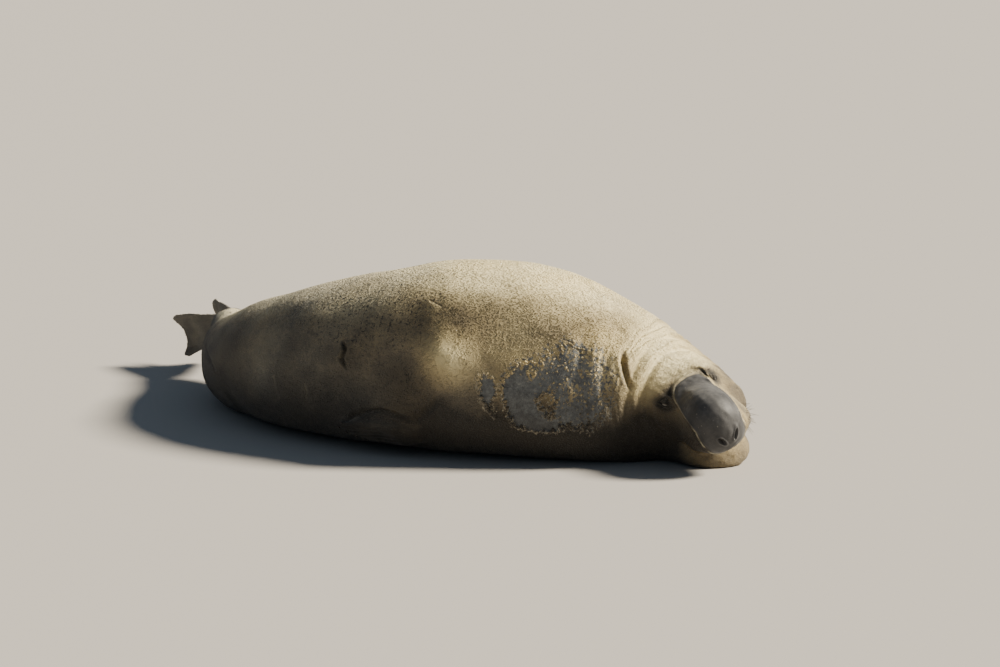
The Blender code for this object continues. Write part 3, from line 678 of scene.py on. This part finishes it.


# Paler and darker places of the coat: a point of the picture, radius in metres, and how much
# paler. They hold the pale crown, cheeks and neck, a painted highlight on the chest at the
# shoulder, and painted shade in the hollow behind the shoulder, on the flanks, rump and
# underside, on the cheek under the eye, between the eye and the snout and down the snout's side.
TONE_LIGHT_AND_SHADE_SPOTS = (
    (672, 350, 0.15, 0.24), (652, 352, 0.12, 0.14), (700, 362, 0.09, 0.16), (450, 354, 0.12, 0.50),
    (560, 300, 0.45, 0.06), (620, 345, 0.16, 0.06), (500, 400, 0.20, -0.03), (640, 445, 0.20, -0.14),
    (415, 320, 0.07, -0.12), (403, 376, 0.15, -0.30), (450, 420, 0.24, -0.20), (530, 430, 0.28, -0.14),
    (655, 425, 0.15, -0.30), (663, 401, 0.035, -0.40), (670, 393, 0.03, -0.40), (677, 386, 0.02, -0.30),
    (300, 306, 0.24, -0.22), (240, 325, 0.24, -0.26), (340, 288, 0.18, -0.10), (470, 318, 0.22, -0.22),
    (600, 325, 0.20, -0.14), (540, 312, 0.18, -0.06), (440, 402, 0.14, -0.16), (686, 392, 0.055, -0.30),
    (694, 415, 0.055, -0.40), (702, 436, 0.05, -0.20), (350, 385, 0.24, -0.26), (290, 395, 0.24, -0.16),
    (300, 335, 0.20, -0.12), (608, 355, 0.15, 0.24), (510, 350, 0.20, 0.12), (500, 262, 0.40, 0.10),
    (690, 434, 0.05, -0.12), (344, 345, 0.10, -0.05), (560, 440, 0.25, -0.12), (388, 300, 0.26, -0.08),
)
GRAIN_SPOTS = ((385, 300, 0.30, 1.0), (350, 290, 0.22, 0.9), (430, 285, 0.18, 0.8), (600, 370, 0.20, 0.4))
CROWN_POINT = (672, 352)
CROWN_RADIUS = 0.22
on_crown = spot(on_skin(*CROWN_POINT), CROWN_RADIUS)
# The coat is paler where it faces up and darker low down and on the rear flanks: partly its own colour, partly
# painted light on top and painted shade below and behind
tone = 0.54 + 0.34 * step_up(normals[:, 2], 0.55, 1.0) - 0.50 * step_up(0.44 - points[:, 2], 0, 0.40)
tone -= 0.46 * step_up(1.4 - along, 0, 1.0) * step_up(0.95 - normals[:, 2], 0, 0.5)
tone = np.where(along < -0.10, 0.34, tone) + 0.06 * near_flippers(points)
tone += 0.05 * lumps(points, 0.50, 21) + 0.035 * lumps(points, 0.14, 22)
# Lay the spots on both sides: pale marks, the painted highlight and the painted shade
for x, y, radius, paler in TONE_LIGHT_AND_SHADE_SPOTS:
    for middle in both_sides(x, y):
        tone += paler * spot(middle, radius)
jaw_pale = step_up(along, 3.50, 3.62) * step_up(-mouth_side, -0.004, 0.004)
rim_pale = step_up(along, 3.50, 3.60) * step_up(bare, -0.075, -0.030) * step_up(-0.002 - bare, 0, 0.006)
rim_pale *= step_up(90 - angle, -10, 25) * (np.abs(angle) < 120)
pale = np.clip(jaw_pale + rim_pale, 0, 1)
# Darker round the eyes (painted shade, with the eyes' own dark skin), in the whisker dimples and in the groove
# round the snout; paler lower lips and cheek rim
tone += 0.34 * pale - 0.50 * np.clip(shaded, 0, 1) - 0.35 * pitted - 0.16 * hump(bare + 0.026, 0.010)
# Scars are paler or darker; along the flank crease, the neck crease and the fold over the fore flipper the
# darkening is painted shade
for line, (picture_points, width, paler) in zip(scar_and_crease_shade_lines, SCARS_AND_CREASE_SHADE):
    tone += paler * hump(distance_to_line(points, line)[0], width)
warm = 0.25 + 0.60 * step_up(along, 1.5, 2.4) - 0.15 * step_up(0.9 - along, 0, 0.9)
warm += 0.20 * lumps(points, 0.45, 23) + 0.5 * pale - 0.45 * on_crown - 0.25 * step_up(normals[:, 2], 0.6, 1.0)
grain = 0.05 + 0.08 * lumps(points, 0.35, 24)
for x, y, radius, amount in GRAIN_SPOTS:
    for middle in both_sides(x, y):
        grain += amount * spot(middle, radius)
peel_edge = coat_left(points)


def keep_numbers(piece, **numbers):
    """Keep one number for each point of a mesh under each name."""
    for name, values in numbers.items():
        made = piece.data.attributes.new(name, "FLOAT", "POINT")
        made.data.foreach_set("value", np.asarray(values, np.float32))


skin_numbers = dict(
    old_coat=np.clip(peel_edge, -0.06, 0.06), mottled=mottled_at(points, peel_edge),
    bare=np.where(along > 3.45, bare, -0.5), slit=slit_depth, tone=np.clip(tone, 0, 1),
    warm=np.clip(warm, 0, 1), grain=np.clip(grain, 0, 1), lie=along, round=np.radians(angle) * 0.45,
)
keep_numbers(skin, **skin_numbers)


# The hide's finish. The coat is short straw to grey hair, paler on the crown and dark-flecked
# on the back. Slate skin with new hair shows where the old coat has gone, and the snout is
# bare, dark and finely wrinkled.
def new_material(name):
    """A material, its tree of nodes and its shader. The functions below work on the last tree and shader made."""
    material = bpy.data.materials.new(name)
    material.use_nodes = True
    return material, material.node_tree, material.node_tree.nodes["Principled BSDF"]


def make_node(kind, sockets=None, **settings):
    """One node of a material, with its settings, and its sockets given values or linked."""
    node = tree.nodes.new("ShaderNode" + kind)
    for name, value in settings.items():
        setattr(node, name, value)
    for name, value in (sockets or {}).items():
        if isinstance(value, bpy.types.NodeSocket):
            tree.links.new(value, node.inputs[name])
        else:
            node.inputs[name].default_value = value
    return node


def feed(socket, value):
    """Link a value to a socket of the shader."""
    tree.links.new(value, shader.inputs[socket])


def number(name):
    """A number kept on the mesh."""
    return make_node("Attribute", attribute_name=name).outputs["Fac"]


def sum_of(first, second, share=1.0):
    """First plus second times share."""
    return make_node("Math", {0: second, 1: share, 2: first}, operation="MULTIPLY_ADD").outputs[0]


def product(first, second):
    return make_node("Math", {0: first, 1: second}, operation="MULTIPLY").outputs[0]


def rise(value, low, high, top=1.0):
    """0 where a value is below low, up to top where it is over high."""
    sockets = {"Value": value, "From Min": low, "From Max": high, "To Max": top}
    return make_node("MapRange", sockets, interpolation_type="SMOOTHSTEP").outputs[0]


def noise(place, scale, detail, rough=0.5):
    """Uneven values about from 0 to 1."""
    sockets = {"Vector": place, "Scale": scale, "Detail": detail, "Roughness": rough}
    return make_node("TexNoise", sockets).outputs["Fac"]


def speckle(place, size, detail=4.0, rough=0.6):
    """Uneven values about from -0.5 to 0.5, with lumps about as large as size."""
    sockets = {0: noise(place, 1 / size, detail, rough), 1: 0.5}
    return make_node("Math", sockets, operation="SUBTRACT").outputs[0]


def colours(value, *stops):
    """A colour chosen by a value, from rows of place and colour."""
    ramp = make_node("ValToRGB", {"Fac": value})
    elements = ramp.color_ramp.elements
    while len(elements) < len(stops):
        elements.new(0.5)
    for element, (place, colour) in zip(elements, stops):
        element.position = place
        element.color = (*colour, 1)
    return ramp.outputs["Color"]


def blended(share, under, over):
    """One colour laid over another by a share."""
    return make_node("Mix", {0: share, 6: under, 7: over}, data_type="RGBA").outputs[2]


def between(share, first, second):
    """A number from first to second, by a share."""
    return make_node("Mix", {0: share, 2: first, 3: second}, data_type="FLOAT").outputs[0]


def along_the_lie(lengthwise, round_body):
    """Places measured along and round the body, each times a scale, so that a pattern follows the coat."""
    sockets = {0: product(number("lie"), lengthwise), 1: product(number("round"), round_body)}
    return make_node("CombineXYZ", sockets).outputs[0]


def hide_colours(own=None):
    """The markings shared by skin and coat, with the painted light and shade in their tone: their colour, the
    shares of old coat and of bare snout, and places.
    """
    place = make_node("TexCoord").outputs["Object"]
    lie = along_the_lie(9.0, 60.0)
    fleck = product(number("mottled"), speckle(place, 0.015, 4.0, 0.65))
    ragged = sum_of(number("old_coat"), speckle(place, 0.035, 7.0, 0.7), 0.03)
    ragged = sum_of(ragged, fleck, 1.0)
    on = rise(ragged, -0.002, 0.003)
    snout_edge = sum_of(number("bare"), speckle(place, 0.02), 0.010)
    snout = rise(snout_edge, -0.003, 0.003)

    tone = sum_of(number("tone"), speckle(place, 0.12, 8.0, 0.62), 0.34)
    tone = sum_of(tone, speckle(lie, 1.0, 5.0, 0.7), 0.12)
    dark_fleck = rise(speckle(place, 0.018, 5.0, 0.75), 0.045, 0.12)
    tone = sum_of(tone, product(dark_fleck, number("grain")), -0.55)
    dark_patch = rise(speckle(place, 0.30, 6.0, 0.7), 0.06, 0.2)
    tone = sum_of(tone, product(dark_patch, number("grain")), -0.12)
    if own is not None:
        tone = sum_of(tone, own, 0.06)
    straw = colours(tone, (0.05, (0.022, 0.017, 0.010)), (0.30, (0.11, 0.086, 0.050)),
                    (0.50, (0.28, 0.218, 0.112)), (0.72, (0.50, 0.400, 0.200)), (0.95, (0.80, 0.67, 0.36)))
    grey = colours(tone, (0.05, (0.020, 0.020, 0.019)), (0.30, (0.090, 0.086, 0.074)),
                   (0.50, (0.235, 0.213, 0.155)), (0.72, (0.46, 0.41, 0.275)), (0.95, (0.84, 0.755, 0.49)))
    coat = blended(number("warm"), grey, straw)

    new_hair = sum_of(0.0, number("tone"), 0.78)
    new_hair = sum_of(new_hair, speckle(place, 0.022, 6.0, 0.75), 1.5)
    new_hair = sum_of(new_hair, speckle(place, 0.10, 6.0), 0.9)
    if own is not None:
        new_hair = sum_of(new_hair, own, 0.10)
    peeled = colours(new_hair, (0.0, (0.040, 0.042, 0.044)), (0.35, (0.095, 0.103, 0.108)),
                     (0.62, (0.17, 0.178, 0.175)), (0.80, (0.25, 0.225, 0.165)), (1.0, (0.42, 0.36, 0.24)))
    pale_edge = product(rise(ragged, 0.014, 0.003), on)
    coat = blended(product(pale_edge, 0.6), coat, (0.66, 0.58, 0.42, 1))
    hide = blended(on, peeled, coat)

    leather_value = sum_of(0.27, number("tone"), 0.6)
    leather = colours(sum_of(leather_value, speckle(place, 0.06, 9.0, 0.65), 1.3),
                      (0.1, (0.014, 0.014, 0.016)), (0.5, (0.036, 0.036, 0.039)), (0.9, (0.088, 0.087, 0.088)))
    scar = rise(speckle(place, 0.011, 3.0, 0.5), 0.19, 0.225)
    leather = blended(product(scar, 0.5), leather, (0.36, 0.33, 0.27, 1))
    edge_line = product(rise(snout_edge, -0.010, -0.007), rise(snout_edge, -0.001, -0.004))
    edge_line = product(edge_line, rise(speckle(place, 0.06), -0.15, 0.15))
    hide = blended(product(edge_line, 0.6), hide, (0.58, 0.53, 0.38, 1))
    hide = blended(snout, hide, leather)
    # Near black in the lid slits, nostrils, mouth line and ear holes: painted shade in these hollows, with the dark
    # skin of lids and lips
    hide = blended(rise(number("slit"), 0.15, 0.75), hide, (0.016, 0.013, 0.012, 1))
    return hide, on, snout, place, lie


def add_bump(height, strength, distance, under=None):
    sockets = {"Height": height, "Strength": strength, "Distance": distance}
    if under is not None:
        sockets["Normal"] = under
    return make_node("Bump", sockets).outputs["Normal"]


hide_material, tree, shader = new_material("seal_hide")
hide, on, snout, place, lie = hide_colours()
feed("Base Color", hide)
hair = noise(lie, 14.0, 4.0, 0.7)
clumps = noise(place, 70.0, 5.0, 0.65)
across_snout = along_the_lie(60.0, 12.0)
wrinkles = noise(across_snout, 2.2, 5.0)
pores = make_node("TexVoronoi", {"Vector": place, "Scale": 260.0}).outputs["Distance"]
skin_height = sum_of(product(hair, 0.6), clumps, 0.35)
snout_height = sum_of(product(wrinkles, 0.9), pores, 0.2)
height = between(snout, skin_height, snout_height)
coat_edge = add_bump(on, 0.8, 0.006)
feed("Normal", add_bump(height, 0.30, 0.003, coat_edge))
coat_rough = between(on, 0.52, 0.78)
rough = between(snout, coat_rough, 0.60)
wet_slit = rise(number("slit"), 0.3, 0.9)
rough = between(wet_slit, rough, 0.25)
feed("Roughness", sum_of(rough, speckle(place, 0.03), 0.2))
shader.inputs["Sheen Weight"].default_value = 0.12
shader.inputs["Sheen Roughness"].default_value = 0.5
skin.data.materials.clear()
skin.data.materials.append(hide_material)
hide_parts(*TRUNK, *FLIPPERS)
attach(skin, "root")


# The coat. Short stiff hairs lie flat toward the tail and clump into small pointed tufts.
# Each tuft is one closed sliver with its root in the skin. They are finest on the face and
# flippers, and the bare snout has none. Along the peeled patches the old coat lifts in flakes.
TUFT_BATCHES = (  # name, from and to along the body, number of tufts
    ("coat_rump", -1.20, 0.75, 36000), ("coat_loin", 0.75, 1.45, 40000), ("coat_back", 1.45, 2.05, 42000),
    ("coat_shoulder", 2.05, 2.60, 42000), ("coat_breast", 2.60, 3.08, 42000), ("coat_neck", 3.08, 3.36, 36000),
    ("coat_face", 3.36, 3.95, 38000),
)
FLAKES = 1100
BAKE_PATCH = 0.0015
BODY_TUFT = (0.0125, 0.0020, 0.0011)   # length, half width, height of the tip
FACE_TUFT = (0.0085, 0.0014, 0.0014)
NEW_TUFT = (0.0075, 0.0013, 0.0013)
FLAKE = (0.016, 0.0065, 0.0040)
TUFT_LEAN = 0.16

# Each point of a shape: shares of half width across, of length along and of height up, then
# shares of half width up, and metres up
TUFT_POINTS = np.array([(1, 0, 0, 0, -0.0012), (-1, 0, 0, 0, -0.0012), (0, 0.15, 0, 0.7, 0), (0, 1, 1, 0, 0)])
TUFT_FACES = np.array([(0, 2, 1), (0, 3, 2), (2, 3, 1), (1, 3, 0)])
FLAKE_POINTS = np.array([
    (0.9, 0, 0, 0, 0.0006), (-0.9, 0, 0, 0, 0.0006), (1, 0.5, 0.3, 0, 0.0006), (-1, 0.5, 0.3, 0, 0.0006),
    (0.6, 1, 1, 0, 0.0004), (-0.7, 0.93, 0.9, 0, 0.0004), (0.9, 0, 0, 0, -0.0030), (-0.9, 0, 0, 0, -0.0030),
    (1, 0.5, 0.3, 0, -0.0008), (-1, 0.5, 0.3, 0, -0.0008), (0.6, 1, 1, 0, -0.0006), (-0.7, 0.93, 0.9, 0, -0.0006),
])
FLAKE_FACES = np.array([
    (0, 2, 3), (0, 3, 1), (2, 4, 5), (2, 5, 3), (6, 9, 8), (6, 7, 9), (8, 11, 10), (8, 9, 11), (0, 6, 8),
    (0, 8, 2), (2, 8, 10), (2, 10, 4), (1, 9, 7), (1, 3, 9), (3, 11, 9), (3, 5, 11), (0, 1, 7), (0, 7, 6),
    (4, 10, 11), (4, 11, 5),
])

coat_material, tree, shader = new_material("seal_coat")
feed("Base Color", hide_colours(own=number("own"))[0])
shader.inputs["Roughness"].default_value = 0.72
shader.inputs["Sheen Weight"].default_value = 0.15

skin.data.calc_loop_triangles()
corner = np.empty(len(skin.data.loop_triangles) * 3, np.int32)
skin.data.loop_triangles.foreach_get("vertices", corner)
corner = corner.reshape(-1, 3)
corner_places = points[corner]
area = np.linalg.norm(np.cross(corner_places[:, 1] - corner_places[:, 0],
                               corner_places[:, 2] - corner_places[:, 0]), axis=1) / 2
face_along = along[corner].mean(1)
growing = (skin_numbers["bare"][corner].mean(1) < -0.003) & (slit_depth[corner].mean(1) < 0.1)
growing &= corner_places[:, :, 2].mean(1) > 0.004
chance = np.random.default_rng(7)


def roots_for(weight, count):
    """Random places on the skin, more of them where the weight is greater.

    Gives the places, which way is out, the row of the spine and the numbers kept there.
    """
    face = chance.choice(len(corner), count, p=weight / weight.sum())
    share = chance.dirichlet((1, 1, 1), count)

    def at_root(values):
        picked = values[corner[face]]
        return (picked * (share[:, :, None] if picked.ndim == 3 else share)).sum(1)

    numbers = {key: at_root(np.asarray(values)) for key, values in skin_numbers.items()}
    numbers["round"] = skin_numbers["round"][corner[face, 0]]
    numbers["own"] = chance.uniform(-1, 1, count)
    outward = at_root(normals)
    return at_root(points), outward / row_lengths(outward)[:, None], row[corner[face, 0]], numbers


def lying(way, outward):
    """Directions laid flat on the skin."""
    way = way - outward * (way * outward).sum(1)[:, None]
    return way / row_lengths(way)[:, None]


def plant(name, shape_points, shape_faces, size, root, outward, lengthwise, numbers):
    """One piece made of a small closed shape at each root, with the numbers and map that its material needs."""
    across, lengths, heights, thick, rise_up = shape_points.T
    long, half, high = size[:, None, 0, None], size[:, None, 1, None], size[:, None, 2, None]
    side = np.cross(outward, lengthwise)
    places = root[:, None] + side[:, None] * half * across[:, None] + lengthwise[:, None] * long * lengths[:, None]
    places += outward[:, None] * (high * heights[:, None] + half * thick[:, None] + rise_up[:, None])
    places[:, :, 2] = np.maximum(places[:, :, 2], LOWEST)
    count, corners = len(root), len(shape_points)
    faces = (np.arange(count)[:, None, None] * corners + shape_faces[None]).reshape(-1, 3)
    mesh = bpy.data.meshes.new(name)
    mesh.vertices.add(count * corners)
    mesh.vertices.foreach_set("co", places.astype(np.float32).ravel())
    mesh.loops.add(faces.size)
    mesh.loops.foreach_set("vertex_index", faces.astype(np.int32).ravel())
    mesh.polygons.add(len(faces))
    mesh.polygons.foreach_set("loop_start", np.arange(0, faces.size, 3, dtype=np.int32))
    mesh.update(calc_edges=True)
    lie = numbers["lie"]
    root_uv = np.stack([(lie - lie.min()) / np.ptp(lie), (numbers["round"] / 0.45 / (2 * math.pi)) % 1], 1)
    patch = np.stack([across, 2 * lengths - 1], 1) * BAKE_PATCH
    point_uv = (0.004 + 0.992 * root_uv[:, None] + patch[None]).reshape(-1, 2)
    bake_map = mesh.uv_layers.new(name="OFBake")
    bake_map.data.foreach_set("uv", point_uv[faces.ravel()].astype(np.float32).ravel())
    piece = bpy.data.objects.new(name, mesh)
    bpy.context.collection.objects.link(piece)
    keep_numbers(piece, **{key: np.repeat(values, corners) for key, values in numbers.items()})
    mesh.materials.append(coat_material)
    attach(piece, "root")


for name, first, last, count in TUFT_BATCHES:
    wanted = growing & (face_along >= first) & (face_along < last)
    root, outward, root_row, numbers = roots_for(np.where(wanted, area, 0), count)
    lengthwise = -spine_ahead[root_row] + np.array([0, 0, -0.30]) + TUFT_LEAN * chance.normal(size=(count, 3))
    lengthwise += 0.25 * np.stack([lumps(root, 0.22, seed) for seed in (31, 32, 33)], 1)
    small = np.maximum(step_up(numbers["lie"], 3.20, 3.46), (numbers["lie"] < -0.16) | near_flippers(root))[:, None]
    size = np.array(BODY_TUFT) * (1 - small) + np.array(FACE_TUFT) * small
    peeled = (numbers["old_coat"] < 0)[:, None]
    size = np.where(peeled, np.array(NEW_TUFT), size) * chance.uniform(0.7, 1.3, (count, 1))
    size[:, 2] *= chance.uniform(0.5, 1.2, count)
    plant(name, TUFT_POINTS, TUFT_FACES, size, root, outward, lying(lengthwise, outward), numbers)

# Flakes of the old coat have their roots on its torn edges and curl up over the new hair
face_edge, face_mottled = (skin_numbers[key][corner].mean(1) for key in ("old_coat", "mottled"))
weight = hump(face_edge - 0.006, 0.005) * (1.1 - face_mottled)
weight += 0.14 * (face_mottled - 0.25).clip(0, 1) * (face_edge < 0.03)
root, outward, root_row, numbers = roots_for(area * weight * growing * (face_along > 1), FLAKES)
STEP = 0.006
here = coat_left(root)
away = np.stack([here - coat_left(root + STEP * np.eye(3)[axis]) for axis in range(3)], 1) / STEP
lengthwise = away + 0.5 * chance.normal(size=(FLAKES, 3))
size = np.array(FLAKE) * chance.uniform(0.45, 1.4, (FLAKES, 3))
size *= (1 - 0.35 * numbers["mottled"])[:, None]
numbers["old_coat"] = np.full(FLAKES, 0.06)
numbers["mottled"] = np.zeros(FLAKES)
plant("coat_flakes", FLAKE_POINTS, FLAKE_FACES, size, root, outward, lying(lengthwise, outward), numbers)


# Whiskers and brow hairs. They are stiff and springy, and stand in rows on the lips and in a
# tuft over each eye. Each is a tapered rod that bends backward under its own weight.
WHISKER_THICKNESS = 0.0011
BROW_TUFTS = ((671, 384), (707, 370), (696, 371))
BROW_HAIRS = 5

hairs = bpy.data.curves.new("whiskers", "CURVE")
hairs.dimensions = "3D"
hairs.bevel_depth = WHISKER_THICKNESS
hairs.bevel_resolution = 0
hairs.use_fill_caps = True


def add_hair(root, outward, lean, length):
    """One hair that starts outward from its root and bends toward lean."""
    spline = hairs.splines.new("POLY")
    spline.points.add(5)
    for point, share in zip(spline.points, np.linspace(0, 1, 6)):
        place = root - outward * 0.003 + length * (share * outward + 0.6 * share * share * lean)
        point.co = (*place, 1)
        point.radius = 1 - 0.85 * share


for place, outward, here, number_in_row in whisker_roots:
    sideways = outward + 0.5 * spine_ahead[here] + 0.15 * chance.normal(size=3)
    length = (0.070 - 0.007 * number_in_row) * chance.uniform(0.7, 1.1)
    add_hair(place, sideways / np.linalg.norm(sideways), np.array([0, 0, -0.4]) - 0.5 * spine_ahead[here], length)
for x, y in BROW_TUFTS:
    middle = on_skin(x, y)
    for turn in range(BROW_HAIRS):
        place = Vector(middle + 0.006 * chance.normal(size=3))
        root, outward = (np.array(value) for value in skin_tree.find_nearest(place)[:2])
        add_hair(root, outward, 0.8 * chance.normal(size=3), 0.028 * chance.uniform(0.6, 1.2))
whiskers = bpy.data.objects.new("whiskers", hairs)
bpy.context.collection.objects.link(whiskers)
pick(whiskers)
bpy.ops.object.convert(target="MESH")
whiskers = bpy.context.object
whisker_material, tree, shader = new_material("whisker_horn")
place = make_node("TexCoord").outputs["Object"]
horn = sum_of(0.5, speckle(place, 0.02), 1.4)
feed("Base Color", colours(horn, (0.2, (0.030, 0.022, 0.015)), (0.8, (0.16, 0.12, 0.075))))
shader.inputs["Roughness"].default_value = 0.42
whiskers.data.materials.append(whisker_material)
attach(whiskers, "root")


# The eyes are dark and wet, and show only through the slits of their lids.
eye_material, tree, shader = new_material("wet_eye")
place = make_node("TexCoord").outputs["Object"]
iris = sum_of(0.5, speckle(place, 0.008), 1.0)
feed("Base Color", colours(iris, (0.3, (0.010, 0.006, 0.004)), (0.8, (0.035, 0.020, 0.012))))
shader.inputs["Roughness"].default_value = 0.08
shader.inputs["Coat Weight"].default_value = 1.0
shader.inputs["Coat Roughness"].default_value = 0.03
for name, middle in zip(("eye_left", "eye_right"), eye_middles):
    bpy.ops.mesh.primitive_uv_sphere_add(segments=48, ring_count=24, radius=EYE_RADIUS - 0.0006, location=middle,
                                         calc_uvs=False)
    eye = bpy.context.object
    eye.name = name + "_ball"
    bpy.ops.object.transform_apply(location=True, rotation=True, scale=True)
    bpy.ops.object.shade_smooth()
    eye.data.materials.append(eye_material)
    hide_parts(name)
    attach(eye, "root")


# The nails of the fore flippers are dark horn, unevenly paler and rougher in places.
nail_material, tree, shader = new_material("nail_horn")
place = make_node("TexCoord").outputs["Object"]
horn = sum_of(0.4, speckle(place, 0.006, 6.0, 0.7), 1.2)
feed("Base Color", colours(horn, (0.1, (0.022, 0.018, 0.015)), (0.5, (0.060, 0.050, 0.040)),
                           (0.9, (0.16, 0.135, 0.10))))
feed("Roughness", sum_of(0.42, speckle(place, 0.01), 0.3))
feed("Normal", add_bump(speckle(place, 0.002), 0.4, 0.001))
for word in ("left", "right"):
    for digit in (1, 2, 3, 4, 5):
        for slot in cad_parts[f"nail_{word}_{digit}"].material_slots:
            slot.material = nail_material


# The studio: a plain pale floor, one far, soft, warm lamp high behind the animal's head, and
# an even pale surround.
bpy.ops.mesh.primitive_plane_add(size=160)
floor = bpy.context.object
floor.name = "floor"
floor_material, tree, shader = new_material("pale_floor")
shader.inputs["Base Color"].default_value = (0.42, 0.40, 0.38, 1)
shader.inputs["Roughness"].default_value = 0.9
floor.data.materials.append(floor_material)

SUN_FROM = picture_right * 0.80 + Vector((sight.x, sight.y, 0)).normalized() * 0.06 + Vector((0, 0, 0.64))
bpy.ops.object.light_add(type="SUN", location=belly_middle + SUN_FROM * 8,
                         rotation=(-SUN_FROM).to_track_quat("-Z", "Y").to_euler())
key_lamp = bpy.context.object
key_lamp.name = "key_lamp"
key_lamp.data.angle = math.radians(14)
key_lamp.data.energy = 12
key_lamp.data.color = (1.0, 0.90, 0.72)

world = bpy.data.worlds.new("studio")
bpy.context.scene.world = world
world.use_nodes = True
world.node_tree.nodes["Background"].inputs["Color"].default_value = (0.62, 0.79, 1.0, 1)
world.node_tree.nodes["Background"].inputs["Strength"].default_value = 0.20
